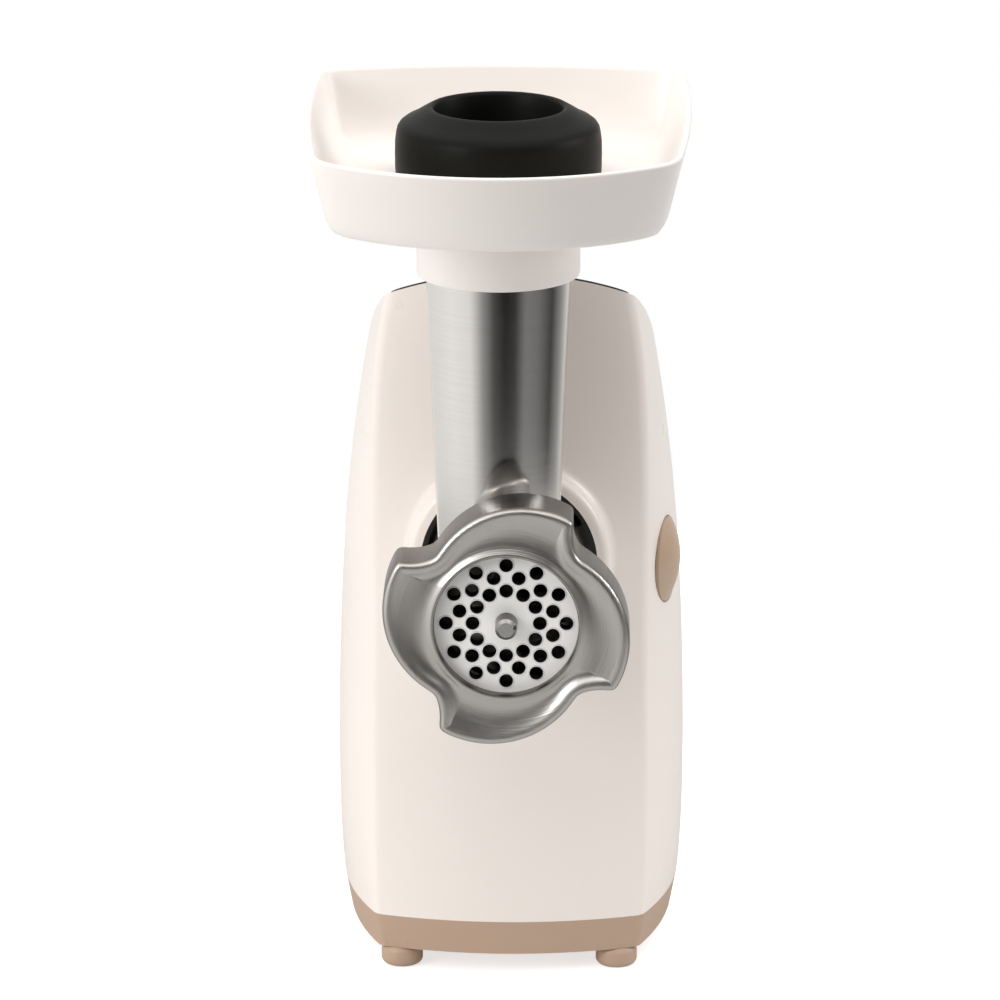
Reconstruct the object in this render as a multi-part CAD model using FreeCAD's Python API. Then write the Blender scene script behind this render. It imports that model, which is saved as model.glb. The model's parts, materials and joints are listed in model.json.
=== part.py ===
import FreeCAD, Part
import math
import os

# Electric meat grinder, in millimetres. While it is built, X is 0 on the body's middle plane, Y is 0 at the
# crown of the front face and grows to the back, and Z is 0 on the table. The export moves the feed tube's
# plane to X = 0 and the middle of the depth to Y = 0.

Vec = FreeCAD.Vector

# Body shell: plan outline, its change with height, and the roof
FRONT_HALF = 52.6
FRONT_CROWN = 9.0
SIDE_HALF = 67.2
WIDEST_Y = 85.0
REAR_HALF = 46.0
REAR_Y = 150.0
BODY_DEPTH = 172.0
WIDEST_Z = 60.0
FRONT_TAPER = 8.8
SIDE_TAPER = 21.8
REAR_TAPER = 6.0
FRONT_TUCK = 4.0
SIDE_TUCK = 6.4
CORNER_R = 6.0
WALL = 2.6
ROOF_Z = 279.0
ROOF_SIDE_R = 300.0
ROOF_SLOPE = 15.5
OVERRUN = 10.0
ROOF_ARCH_R = 158.0
COVER_T = 3.0
SEAL_W = 1.4
SEAL_PROUD = 0.8

# Base, feet and their screws
BASE_BOTTOM_Z = 8.0
BASE_TOP_Z = 21.0
BASE_LIP = 4.0
BASE_FLOOR = 2.6
FOOT_R = 8.0
FOOT_TOP_Z = 12.0
FOOT_ROUND = 2.5
FOOT_INSET = 11.0
FRONT_FOOT_Y = 13.0
REAR_FOOT_Y = 148.0
REAR_FOOT_X = 34.0
POST_R = 8.0
POST_TOP_Z = 48.0
POST_INSET = 6.0
FRONT_POST_Y = 26.0
REAR_POST_Y = 132.0
SCREW_R = 2.0
SCREW_HEAD_R = 3.8
SCREW_HEAD_H = 2.4

# Air slots and cord inlet
SLOT_H = 3.0
SLOT_W = 34.0
SLOT_PITCH = 7.0
SLOT_COUNT = 7
SLOT_BOTTOM_Z = 66.0
FLOOR_SLOT_COUNT = 7
FLOOR_SLOT_LENGTH = 46.0
GLAND_Z = 42.0
GLAND_R = 6.0
GLAND_FLANGE_R = 9.0
GLAND_FLANGE_T = 2.5
CORD_HOLE_R = 3.6

# Front boss and bayonet socket
BARREL_Z = 167.5
BOSS_R = 38.5
BOSS_PROUD = 6.0
BOSS_BORE_R = 33.6
BOSS_ROUND = 3.0
BOSS_FOOT_ROUND = 4.0
SOCKET_Y = 10.0
SOCKET_WALL = 2.0
SOCKET_FLOOR = 3.0
SOCKET_RECESS = 2.5
SOCKET_LIP = 3.0
LUG_COUNT = 3
LUG_SPREAD = 28.0
LUG_REACH = 2.7
LUG_T = 5.0
TWIST = 45.0
FIT = 0.1
RUN = 0.05
FREE = 0.4

# Grinder head: barrel and feed tube
BARREL_FRONT_Y = -81.5
BARREL_R = 30.0
BORE_R = 27.5
SPIGOT_R = 28.2
SPIGOT_END_Y = 9.0
THREAD_R = 34.0
THREAD_LENGTH = 15.0
BORE_END_Y = -3.0
TUBE_X = -3.5
TUBE_Y = -37.0
TUBE_FOOT_R = 21.9
TUBE_TOP_R = 26.6
TUBE_SEAT = 34.0
TUBE_RISE = 150.5
TUBE_BORE_TOP_R = 24.0
TUBE_BORE_FOOT_R = 20.3

# Hole plate, cutter and feed screw
PLATE_R = 30.8
PLATE_T = 6.0
PLATE_PROUD = 0.5
HOLE_R = 2.6
HOLES_PER_RING = 12
HOLE_RINGS = (22.2, 17.8, 12.4)
PIN_R = 4.0
PIN_REACH = 9.0
PIN_CHAMFER = 1.2
KEY_W = 5.0
KEY_H = 2.5
BLADE_R = 26.8
BLADE_HUB_R = 9.5
BLADE_T = 6.5
BLADE_W = 9.0
BLADE_WINGS = 4
SQUARE = 9.6
FLIGHT_R = 26.7
FLIGHT_T = 3.6
FLIGHT_PITCH = 24.0
CORE_FRONT_R = 9.0
CORE_REAR_R = 12.5
JOURNAL_R = 7.0
BUSH_T = 3.5
BUSH_FLANGE_R = 15.0
BUSH_FLANGE_T = 2.0
DRIVE_FLATS = 12.0
DRIVE_LENGTH = 11.0

# Locking ring
RING_LIP_T = 5.8
RING_OPENING_R = 26.7
RING_NOTCH_R = 37.2
RING_SIDE_R = 44.2
RING_CORNER_R = 47.2
RING_LOBES = 4
RING_LOBE_SPAN = 77.0
RING_CORNER_ANGLE = 58.0
RING_DISH = 2.4
RING_BEAD = 1.5
RING_LAND = 3.6
RING_SLOPE = 4.0
RING_CORNER_ROUND = 2.5
RING_NOTCH_ROUND = 4.0
RING_EDGE_ROUND = 1.5

# Food tray and pusher
COLLAR_R = 30.25
COLLAR_DROP = 31.0
COLLAR_FIT = 0.3
COLLAR_STEP = 2.0
TRAY_FLOOR_T = 2.5
TRAY_DEPTH = 29.0
TRAY_WALL = 2.2
TRAY_DRAFT = 7.0
TRAY_CORNER_R = 10.0
TRAY_FRONT_Y = -140.0
TRAY_FRONT_CORNER = (66.0, -112.0)
TRAY_SIDE = (71.0, -35.0)
TRAY_BACK_CORNER = (69.5, 40.0)
TRAY_BACK_Y = 50.0
PUSHER_R = 38.1
PUSHER_SHOULDER = 24.0
PUSHER_CROWN = 5.5
PUSHER_HOLE_R = 23.8
PUSHER_WALL = 2.6
PUSHER_LIFT = 3.0
PUSHER_BULGE = 0.6
PUSHER_ROUND = 2.0

# Push button and switch
BUTTON_R = 16.5
BUTTON_Y = 33.0
BUTTON_DROP = 9.5
BUTTON_Z = BARREL_Z - BUTTON_DROP
BUTTON_TURN = 12.0
BUTTON_DOME = 4.5
BUTTON_SKIRT = 8.0
GUIDE_T = 2.0
GUIDE_DEPTH = 13.0
STEM_R = 2.5
SWITCH_T = 4.5
SWITCH_W = 24.0
SWITCH_H = 16.0

# Gear train
FINE_MODULE = 1.5
COARSE_MODULE = 2.0
MOTOR_TEETH = 9
FIRST_TEETH = 36
FIRST_PINION_TEETH = 10
SECOND_TEETH = 40
SECOND_PINION_TEETH = 10
OUTPUT_TEETH = 32
PRESSURE_ANGLE = 25.0
ADDENDUM = 0.9
DEDENDUM = 1.2
TOOTH_THINNING = 0.18
OUTPUT_FACE = 9.0
SECOND_FACE = 7.5
FIRST_FACE = 7.0
LAYER_GAP = 1.5
GEAR_PIN_R = 3.0
GEAR_HUB_R = 6.0
CASE_PLATE = 4.0
CASE_WALL = 2.5
GEAR_ROOM = 1.7
CASE_BOTTOM_DROP = 26.0
CASE_FRAME_HALF = 41.5
CASE_FRAME_R = 8.0
CASE_POST_INSET = 5.0
CASE_POST_R = 4.5
LUG_R = 4.5
COVER_T_GEAR = 3.0
OUTPUT_HEAD_R = 11.5
OUTPUT_SEAT_R = 9.0
OUTPUT_TAIL_R = 6.0
OUTPUT_BUSH_T = 3.0

# Motor
SHAFT_R = 4.0
ARMATURE_R = 17.4
ARMATURE_SLOTS = 12
ARMATURE_SLOT_W = 3.0
ARMATURE_SLOT_DEPTH = 6.0
STACK_LENGTH = 40.0
AIR_GAP = 0.8
STATOR_HALF_X = 29.0
STATOR_HALF_Z = 28.0
STATOR_ROUND = 6.0
POLE_WINDOW_R = 25.3
POLE_WINDOW_ANGLE = 42.0
COIL_GAP = 0.4
COIL_BUILD = 5.8
COIL_END = 5.0
COIL_SPLIT = 4.0
WINDING_R = 15.0
WINDING_END = 5.5
FAN_R = 24.0
FAN_W = 7.0
FAN_BLADES = 9
FAN_DISC_T = 1.5
COMMUTATOR_R = 11.0
COMMUTATOR_LENGTH = 12.0
COMMUTATOR_BARS = 12
MOTOR_POST_X = 21.0
MOTOR_POST_Z = 20.0
MOTOR_POST_R = 3.6
FRONT_POST_LENGTH = 22.0
BRACKET_REACH = 24.0
BRACKET_T = 3.0
BEARING_R = 8.0
BEARING_LENGTH = 6.0
BRUSH_W = 5.0
BRUSH_H = 6.0
BRUSH_LENGTH = 13.0
BRUSH_GAP = 0.3
HOLDER_GAP = 2.0
HOLDER_T = 1.6

# Places that follow from the sizes above
TRAY_SEAT_Z = BARREL_Z + TUBE_RISE
TRAY_BOTTOM_Z = TRAY_SEAT_Z + COLLAR_STEP
TRAY_FLOOR_Z = TRAY_BOTTOM_Z + TRAY_FLOOR_T
TRAY_RIM_Z = TRAY_BOTTOM_Z + TRAY_DEPTH
PLATE_FRONT_Y = BARREL_FRONT_Y - PLATE_PROUD
PLATE_BACK_Y = PLATE_FRONT_Y + PLATE_T
RING_BACK_Y = BARREL_FRONT_Y + THREAD_LENGTH + 1.0
RING_FRONT_Y = PLATE_FRONT_Y - RING_LIP_T
CASE_FRONT_Y = SOCKET_Y + SOCKET_FLOOR
CASE_INSIDE_Y = CASE_FRONT_Y + CASE_PLATE
OUTPUT_Y = CASE_INSIDE_Y + LAYER_GAP
SECOND_Y = OUTPUT_Y + OUTPUT_FACE + LAYER_GAP
FIRST_Y = SECOND_Y + SECOND_FACE + LAYER_GAP
COVER_Y = FIRST_Y + FIRST_FACE + LAYER_GAP
COVER_BACK_Y = COVER_Y + COVER_T_GEAR
SECOND_Z = BARREL_Z - COARSE_MODULE * (OUTPUT_TEETH + SECOND_PINION_TEETH) / 2
FIRST_Z = SECOND_Z - FINE_MODULE * (SECOND_TEETH + FIRST_PINION_TEETH) / 2
CASE_HALF = COARSE_MODULE * (OUTPUT_TEETH / 2 + ADDENDUM) + GEAR_ROOM + CASE_WALL
MOTOR_Z = FIRST_Z - FINE_MODULE * (FIRST_TEETH + MOTOR_TEETH) / 2
STACK_Y = COVER_BACK_Y + FRONT_POST_LENGTH
STACK_END_Y = STACK_Y + STACK_LENGTH
BRACKET_Y = STACK_END_Y + BRACKET_REACH
COMMUTATOR_Y = STACK_END_Y + WINDING_END + 4.0
BRUSH_Y = COMMUTATOR_Y + COMMUTATOR_LENGTH / 2
ORIGIN_Y = (TRAY_FRONT_Y + BODY_DEPTH + GLAND_FLANGE_T) / 2


def cyl_y(radius, y0, y1, x=0.0, z=BARREL_Z):
    return Part.makeCylinder(radius, y1 - y0, Vec(x, y0, z), Vec(0, 1, 0))


def cyl_z(radius, z0, z1, x=0.0, y=0.0):
    return Part.makeCylinder(radius, z1 - z0, Vec(x, y, z0))


def tube_y(outer, inner, y0, y1, x=0.0, z=BARREL_Z):
    return cyl_y(outer, y0, y1, x, z).cut(cyl_y(inner, y0 - 1, y1 + 1, x, z))


def block(x0, x1, y0, y1, z0, z1):
    return Part.makeBox(x1 - x0, y1 - y0, z1 - z0, Vec(x0, y0, z0))


def join(first, *others):
    shape = first
    for other in others:
        shape = shape.fuse(other)
    return shape.removeSplitter()


def revolve(points, start, axis):
    """Solid turned from a closed outline of points about the line through start along axis."""
    outline = Part.makePolygon(points + points[:1])
    return Part.Face(outline).revolve(start, axis, 360)


def revolve_y(outline, x=0.0, z=BARREL_Z):
    """Solid turned about a line along Y from (radius, y) points."""
    return revolve([Vec(x + r, y, z) for r, y in outline], Vec(x, 0, z), Vec(0, 1, 0))


def revolve_z(outline, x=0.0, y=0.0):
    """Solid turned about an upright line from (radius, z) points."""
    return revolve([Vec(x + r, y, z) for r, z in outline], Vec(x, y, 0), Vec(0, 0, 1))


def edges_where(shape, test):
    return [edge for edge in shape.Edges if test(edge)]


def rounded(wire, radius, inset=0.0):
    """The outline drawn in by inset, with its corners rounded to radius."""
    return wire.makeOffset2D(-(radius + inset)).makeOffset2D(radius)


def arc_loop(corners, middles):
    """Closed outline of arcs, each from one corner through a middle point to the next corner."""
    ends = corners[1:] + corners[:1]
    arcs = [Part.Arc(a, m, b).toShape() for a, m, b in zip(corners, middles, ends)]
    return Part.Wire(arcs)


def turned(shape, angle, x=0.0, z=BARREL_Z):
    """A copy turned about a line along Y, clockwise as seen from the front."""
    copy = shape.copy()
    copy.rotate(Vec(x, 0, z), Vec(0, 1, 0), angle)
    return copy


def screw_y(head_y, length, x, z):
    """Pan-head screw along Y, with its head at the back."""
    shank = cyl_y(SCREW_R, head_y - length, head_y, x, z)
    return shank.fuse(cyl_y(SCREW_HEAD_R, head_y, head_y + SCREW_HEAD_H, x, z)).removeSplitter()


# Body


def plan_section(z, inset=0.0):
    """Outline of the body at height z: bowed front and back, swelling sides."""
    rise = max(z - WIDEST_Z, 0.0) / (ROOF_Z - WIDEST_Z)
    sink = max(WIDEST_Z - z, 0.0) / WIDEST_Z
    front = FRONT_HALF - FRONT_TAPER * rise ** 8 - FRONT_TUCK * sink ** 3
    side = SIDE_HALF - SIDE_TAPER * rise ** 2.5 - SIDE_TUCK * sink ** 3
    rear = REAR_HALF - REAR_TAPER * rise
    corners = [
        Vec(-front, FRONT_CROWN, z), Vec(front, FRONT_CROWN, z), Vec(rear, REAR_Y, z), Vec(-rear, REAR_Y, z)]
    middles = [Vec(0, 0, z), Vec(side, WIDEST_Y, z), Vec(0, BODY_DEPTH, z), Vec(-side, WIDEST_Y, z)]
    return rounded(arc_loop(corners, middles), CORNER_R, inset)


def body_form(inset, bottom, top):
    """Body outline lofted upwards, drawn in all round by inset."""
    steps = (0.0, 0.14, 0.35, 0.55, 0.72, 0.85, 0.93, 1.0)
    return Part.makeLoft([plan_section(bottom + (top - bottom) * step, inset) for step in steps], True)


def roof_form(drop):
    """Everything under the roof: an arched wheel on a cross axis, drop below the roof's face."""
    radius = ROOF_SIDE_R - drop
    slope = math.radians(ROOF_SLOPE)
    centre = Vec(0, -ROOF_SIDE_R * math.sin(slope), ROOF_Z - ROOF_SIDE_R * math.cos(slope))
    half = SIDE_HALF + OVERRUN
    edge = radius - ROOF_ARCH_R + math.sqrt(ROOF_ARCH_R ** 2 - half ** 2)
    left = centre + Vec(-half, 0, edge)
    right = centre + Vec(half, 0, edge)
    crown = Part.Arc(left, centre + Vec(0, 0, radius), right).toShape()
    sides = Part.makePolygon([right, centre + Vec(half, 0, 0), centre + Vec(-half, 0, 0), left])
    return Part.Face(Part.Wire([crown] + sides.Edges)).revolve(centre, Vec(1, 0, 0), 360)


def side_half(y, z):
    """Half width of the body's outer face at a place on its side."""
    probe = Part.Face(plan_section(z)).common(Part.makeLine(Vec(0, y, z), Vec(2 * SIDE_HALF, y, z)))
    return max(vertex.X for vertex in probe.Vertexes)


def button_frame():
    """Centre of the button on the body's side, and the direction that it faces."""
    turn = math.radians(BUTTON_TURN)
    outward = Vec(math.cos(turn), -math.sin(turn), 0)
    return Vec(side_half(BUTTON_Y, BUTTON_Z), BUTTON_Y, BUTTON_Z), outward


def on_button(radius, inner, outer):
    """Cylinder on the button's axis, between two heights over the body's side."""
    centre, outward = button_frame()
    return Part.makeCylinder(radius, outer - inner, centre + outward * inner, outward)


def base_posts():
    """Places of the four posts that take the base screws."""
    places = []
    for y in (FRONT_POST_Y, REAR_POST_Y):
        x = side_half(y, BASE_BOTTOM_Z) - POST_INSET
        places += [(x, y), (-x, y)]
    return places


def case_posts():
    """Places of the four posts that carry the gear case."""
    x = CASE_FRAME_HALF - CASE_POST_INSET
    top = BARREL_Z + CASE_HALF - CASE_POST_INSET
    bottom = MOTOR_Z - CASE_BOTTOM_DROP + CASE_POST_INSET
    return [(x, top), (-x, top), (x, bottom), (-x, bottom)]


def housing():
    """One white moulding, open below for the works and above for the cover."""
    top = ROOF_Z + SEAL_PROUD + OVERRUN
    outer = body_form(0.0, BASE_TOP_Z, top)
    cavity = body_form(WALL, BASE_TOP_Z, top)
    boss = cyl_y(BOSS_R, -BOSS_PROUD, SOCKET_Y)
    shell = outer.fuse(cyl_y(BOSS_R, -BOSS_PROUD, FRONT_CROWN))
    boss_top = BARREL_Z + BOSS_R
    foot = edges_where(shell, lambda e: abs(e.BoundBox.ZMax - boss_top) < 0.01 and e.BoundBox.YMax > -1)
    shell = shell.makeFillet(BOSS_FOOT_ROUND, foot)
    rim = edges_where(shell, lambda e: abs(e.BoundBox.YMax + BOSS_PROUD) < 0.01 and e.BoundBox.YLength < 0.01)
    shell = shell.makeFillet(BOSS_ROUND, rim)
    inside = cavity.cut(boss)
    for x, y in base_posts():
        inside = inside.cut(cyl_z(POST_R, BASE_TOP_Z, POST_TOP_Z, x, y))
    for x, z in case_posts():
        inside = inside.cut(cyl_y(CASE_POST_R, 0, CASE_FRONT_Y, x, z))
    inside = inside.cut(on_button(BUTTON_R + FREE + GUIDE_T, -GUIDE_DEPTH, 0))
    shell = shell.cut(inside).common(roof_form(0.0))
    shell = shell.cut(cyl_y(BOSS_BORE_R, -BOSS_PROUD - 1, SOCKET_Y + 1))
    shell = shell.cut(on_button(BUTTON_R + FREE, -GUIDE_DEPTH - 1, 3 * GUIDE_DEPTH))
    for x, y in base_posts():
        shell = shell.cut(cyl_z(SCREW_R, BASE_TOP_Z - 1, POST_TOP_Z - WALL, x, y))
    for x, z in case_posts():
        shell = shell.cut(cyl_y(SCREW_R, FRONT_CROWN, CASE_FRONT_Y + 1, x, z))
    for k in range(SLOT_COUNT):
        z = SLOT_BOTTOM_Z + k * SLOT_PITCH
        shell = shell.cut(block(-SLOT_W / 2, SLOT_W / 2, REAR_Y, BODY_DEPTH + 1, z, z + SLOT_H))
    return shell.cut(cyl_y(GLAND_R, BODY_DEPTH - 2 * WALL, BODY_DEPTH + 1, 0, GLAND_Z))


def top_cover():
    """White roof panel that runs down over the sloping back."""
    panel = body_form(WALL + SEAL_W, BASE_TOP_Z, ROOF_Z + SEAL_PROUD + OVERRUN)
    return panel.common(roof_form(0.0)).cut(roof_form(COVER_T))


def top_seal():
    """Dark bead that fills the seam between the shell's rim and the cover, standing a little proud."""
    top = ROOF_Z + SEAL_PROUD + OVERRUN
    strip = body_form(WALL, BASE_TOP_Z, top).cut(body_form(WALL + SEAL_W, BASE_TOP_Z, top))
    return strip.common(roof_form(-SEAL_PROUD)).cut(roof_form(COVER_T))


def foot_places():
    x = FRONT_HALF - FOOT_INSET
    return [(x, FRONT_FOOT_Y), (-x, FRONT_FOOT_Y), (REAR_FOOT_X, REAR_FOOT_Y), (-REAR_FOOT_X, REAR_FOOT_Y)]


def base():
    """Beige bottom tray with a lip inside the shell, pockets for the feet and slots for air."""
    outer = Part.makeLoft([plan_section(BASE_BOTTOM_Z), plan_section(BASE_TOP_Z)], True)
    lip_top = plan_section(BASE_TOP_Z, WALL + FIT)
    lip = Part.Face(lip_top).extrude(Vec(0, 0, BASE_LIP))
    hollow = Part.makeLoft([plan_section(BASE_BOTTOM_Z, 2 * WALL), plan_section(BASE_TOP_Z, 2 * WALL)], True)
    hollow = hollow.fuse(Part.Face(plan_section(BASE_TOP_Z, 2 * WALL)).extrude(Vec(0, 0, BASE_LIP)))
    floor = block(-SIDE_HALF, SIDE_HALF, 0, BODY_DEPTH, 0, BASE_BOTTOM_Z + BASE_FLOOR)
    hollow = hollow.cut(floor)
    for x, y in foot_places():
        hollow = hollow.cut(cyl_z(FOOT_R + WALL, 0, FOOT_TOP_Z + BASE_FLOOR, x, y))
    for x, y in base_posts():
        hollow = hollow.cut(cyl_z(POST_R, 0, BASE_TOP_Z, x, y))
    tray = outer.fuse(lip).cut(hollow)
    for x, y in base_posts():
        tray = tray.cut(cyl_z(POST_R + FIT, BASE_TOP_Z, BASE_TOP_Z + BASE_LIP, x, y))
        tray = tray.cut(cyl_z(SCREW_R, 0, BASE_TOP_Z, x, y))
        tray = tray.cut(cyl_z(SCREW_HEAD_R + FIT, 0, BASE_BOTTOM_Z + SCREW_HEAD_H, x, y))
    for x, y in foot_places():
        tray = tray.cut(cyl_z(FOOT_R, 0, FOOT_TOP_Z, x, y))
    for k in range(FLOOR_SLOT_COUNT):
        x = (k - (FLOOR_SLOT_COUNT - 1) / 2) * SLOT_PITCH
        tray = tray.cut(block(x - SLOT_H / 2, x + SLOT_H / 2, WIDEST_Y - FLOOR_SLOT_LENGTH / 2,
                              WIDEST_Y + FLOOR_SLOT_LENGTH / 2, 0, BASE_BOTTOM_Z + BASE_FLOOR))
    return tray.removeSplitter()


def feet():
    """Four round feet, pressed up into the base's pockets."""
    solids = []
    for x, y in foot_places():
        foot = cyl_z(FOOT_R, 0, FOOT_TOP_Z, x, y)
        solids.append(foot.makeFillet(FOOT_ROUND, edges_where(foot, lambda e: e.BoundBox.ZMax < 0.01)))
    return Part.makeCompound(solids)


def base_screws():
    solids = []
    for x, y in base_posts():
        head = cyl_z(SCREW_HEAD_R, BASE_BOTTOM_Z, BASE_BOTTOM_Z + SCREW_HEAD_H, x, y)
        solids.append(join(head, cyl_z(SCREW_R, BASE_BOTTOM_Z, POST_TOP_Z - 2 * WALL, x, y)))
    return Part.makeCompound(solids)


def cord_gland():
    """Round rubber inlet in the back, flanged on both sides of the wall."""
    sleeve = cyl_y(GLAND_R, BODY_DEPTH - WALL - GLAND_FLANGE_T, BODY_DEPTH + GLAND_FLANGE_T, 0, GLAND_Z)
    face = cyl_y(GLAND_FLANGE_R, BODY_DEPTH, BODY_DEPTH + GLAND_FLANGE_T, 0, GLAND_Z)
    back = cyl_y(GLAND_FLANGE_R, BODY_DEPTH - WALL - GLAND_FLANGE_T, BODY_DEPTH - WALL, 0, GLAND_Z)
    wall = body_form(0.0, BASE_TOP_Z, ROOF_Z).cut(body_form(WALL, BASE_TOP_Z, ROOF_Z))
    flanges = face.fuse(back).cut(wall)
    hole_y = BODY_DEPTH - WALL - 2 * GLAND_FLANGE_T
    return join(sleeve, flanges).cut(cyl_y(CORD_HOLE_R, hole_y, BODY_DEPTH + 2 * GLAND_FLANGE_T, 0, GLAND_Z))


# Push button and switch


def switch_button():
    """Domed round cap on a short skirt, with a stem to the switch."""
    centre, outward = button_frame()
    cap = on_button(BUTTON_R, -BUTTON_SKIRT, 0)
    ball_r = (BUTTON_R ** 2 + BUTTON_DOME ** 2) / (2 * BUTTON_DOME)
    ball = Part.makeSphere(ball_r, centre + outward * (BUTTON_DOME - ball_r))
    dome = ball.common(on_button(BUTTON_R, -FIT, BUTTON_DOME + 1))
    inside = on_button(BUTTON_R - GUIDE_T, -BUTTON_SKIRT, -GUIDE_T)
    stem = on_button(STEM_R, -GUIDE_DEPTH - SWITCH_T / 3, -GUIDE_T)
    return join(cap, dome).cut(inside).fuse(stem).removeSplitter()


def switch_body():
    """Push switch behind the button, on the end of the guide."""
    centre, outward = button_frame()
    corner = Vec(-GUIDE_DEPTH - SWITCH_T, -SWITCH_W / 2, -SWITCH_H / 2)
    case = Part.makeBox(SWITCH_T, SWITCH_W, SWITCH_H, corner)
    case.rotate(Vec(0, 0, 0), Vec(0, 0, 1), -BUTTON_TURN)
    case.translate(centre)
    return case.cut(on_button(STEM_R + FREE, -GUIDE_DEPTH - SWITCH_T - 1, 0))


# Bayonet socket and grinder head


def sector(radius, angle, spread, y0, y1):
    """Wedge of a disc about the barrel's axis, centred on an angle from +X towards +Z."""
    a0 = math.radians(angle - spread / 2)
    a1 = math.radians(angle + spread / 2)
    points = [(0, 0), (math.cos(a0), math.sin(a0)), (math.cos(a1), math.sin(a1))]
    reach = radius / math.cos(math.radians(spread / 2))
    corners = [Vec(reach * c, y0, BARREL_Z + reach * s) for c, s in points]
    wedge = Part.Face(Part.makePolygon(corners + corners[:1])).extrude(Vec(0, y1 - y0, 0))
    return wedge.common(cyl_y(radius, y0, y1))


def lug_angles():
    return [90 + k * 360 / LUG_COUNT for k in range(LUG_COUNT)]


def head_socket():
    """Black cup behind the boss: a lip with three gaps for the head's lugs, and a floor round the drive."""
    outer = BOSS_BORE_R - FIT
    inner = outer - SOCKET_WALL
    front = -BOSS_PROUD + SOCKET_RECESS
    cup = cyl_y(outer, front, SOCKET_Y).fuse(cyl_y(BOSS_R, SOCKET_Y, CASE_FRONT_Y))
    cup = cup.cut(cyl_y(inner, front + SOCKET_LIP, SOCKET_Y))
    cup = cup.cut(cyl_y(SPIGOT_R + FREE, front - 1, SOCKET_Y))
    cup = cup.cut(cyl_y(OUTPUT_HEAD_R + OUTPUT_BUSH_T / 2, SOCKET_Y - 1, CASE_FRONT_Y + 1))
    for angle in lug_angles():
        cup = cup.cut(sector(inner, angle - TWIST, LUG_SPREAD + 6, front - 1, front + SOCKET_LIP + 1))
    return cup.removeSplitter()


def tube_cone(foot_r, top_r):
    """Feed tube's taper from the barrel's axis to the foot of its straight seat."""
    height = TUBE_RISE - TUBE_SEAT
    return Part.makeCone(foot_r, top_r, height, Vec(TUBE_X, TUBE_Y, BARREL_Z))


def grinder_head():
    """Aluminium casting: threaded barrel, feed tube, spigot with bayonet lugs."""
    lug_y = -BOSS_PROUD + SOCKET_RECESS + SOCKET_LIP + FREE
    casting = join(
        cyl_y(THREAD_R, BARREL_FRONT_Y, BARREL_FRONT_Y + THREAD_LENGTH),
        cyl_y(BARREL_R, BARREL_FRONT_Y + THREAD_LENGTH, -BOSS_PROUD),
        cyl_y(SPIGOT_R, -BOSS_PROUD, SPIGOT_END_Y),
        tube_cone(TUBE_FOOT_R, TUBE_TOP_R),
        cyl_z(TUBE_TOP_R, TRAY_SEAT_Z - TUBE_SEAT, TRAY_SEAT_Z, TUBE_X, TUBE_Y))
    for angle in lug_angles():
        casting = casting.fuse(sector(SPIGOT_R + LUG_REACH, angle, LUG_SPREAD, lug_y, lug_y + LUG_T))
    feed = Part.makeCone(TUBE_BORE_FOOT_R, TUBE_BORE_TOP_R, TUBE_RISE + 1, Vec(TUBE_X, TUBE_Y, BARREL_Z))
    casting = casting.cut(feed)
    casting = casting.cut(cyl_y(BORE_R, BARREL_FRONT_Y - 1, BORE_END_Y))
    casting = casting.cut(cyl_y(PLATE_R + FIT, BARREL_FRONT_Y - 1, PLATE_BACK_Y))
    casting = casting.cut(cyl_y(JOURNAL_R + BUSH_T, BORE_END_Y - 1, SPIGOT_END_Y + 1))
    key_z = BARREL_Z - PLATE_R - FIT
    key = block(-KEY_W / 2, KEY_W / 2, BARREL_FRONT_Y, PLATE_BACK_Y, key_z - 1, key_z + KEY_H)
    return casting.fuse(key).removeSplitter()


def head_bush():
    """Flanged plastic bearing at the back of the barrel."""
    outer = JOURNAL_R + BUSH_T
    flange = cyl_y(BUSH_FLANGE_R, BORE_END_Y - BUSH_FLANGE_T, BORE_END_Y)
    sleeve = cyl_y(outer, BORE_END_Y, SPIGOT_END_Y)
    return join(flange, sleeve).cut(cyl_y(JOURNAL_R + RUN, BORE_END_Y - 5, SPIGOT_END_Y + 1))


def hexagon_y(flats, y0, y1):
    """Six-sided bar along the barrel's axis."""
    reach = flats / 2 / math.cos(math.pi / 6)
    angles = [k * math.pi / 3 for k in range(6)]
    corners = [Vec(reach * math.cos(a), y0, BARREL_Z + reach * math.sin(a)) for a in angles]
    return Part.Face(Part.makePolygon(corners + corners[:1])).extrude(Vec(0, y1 - y0, 0))


def square_y(size, y0, y1):
    return block(-size / 2, size / 2, y0, y1, BARREL_Z - size / 2, BARREL_Z + size / 2)


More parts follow.
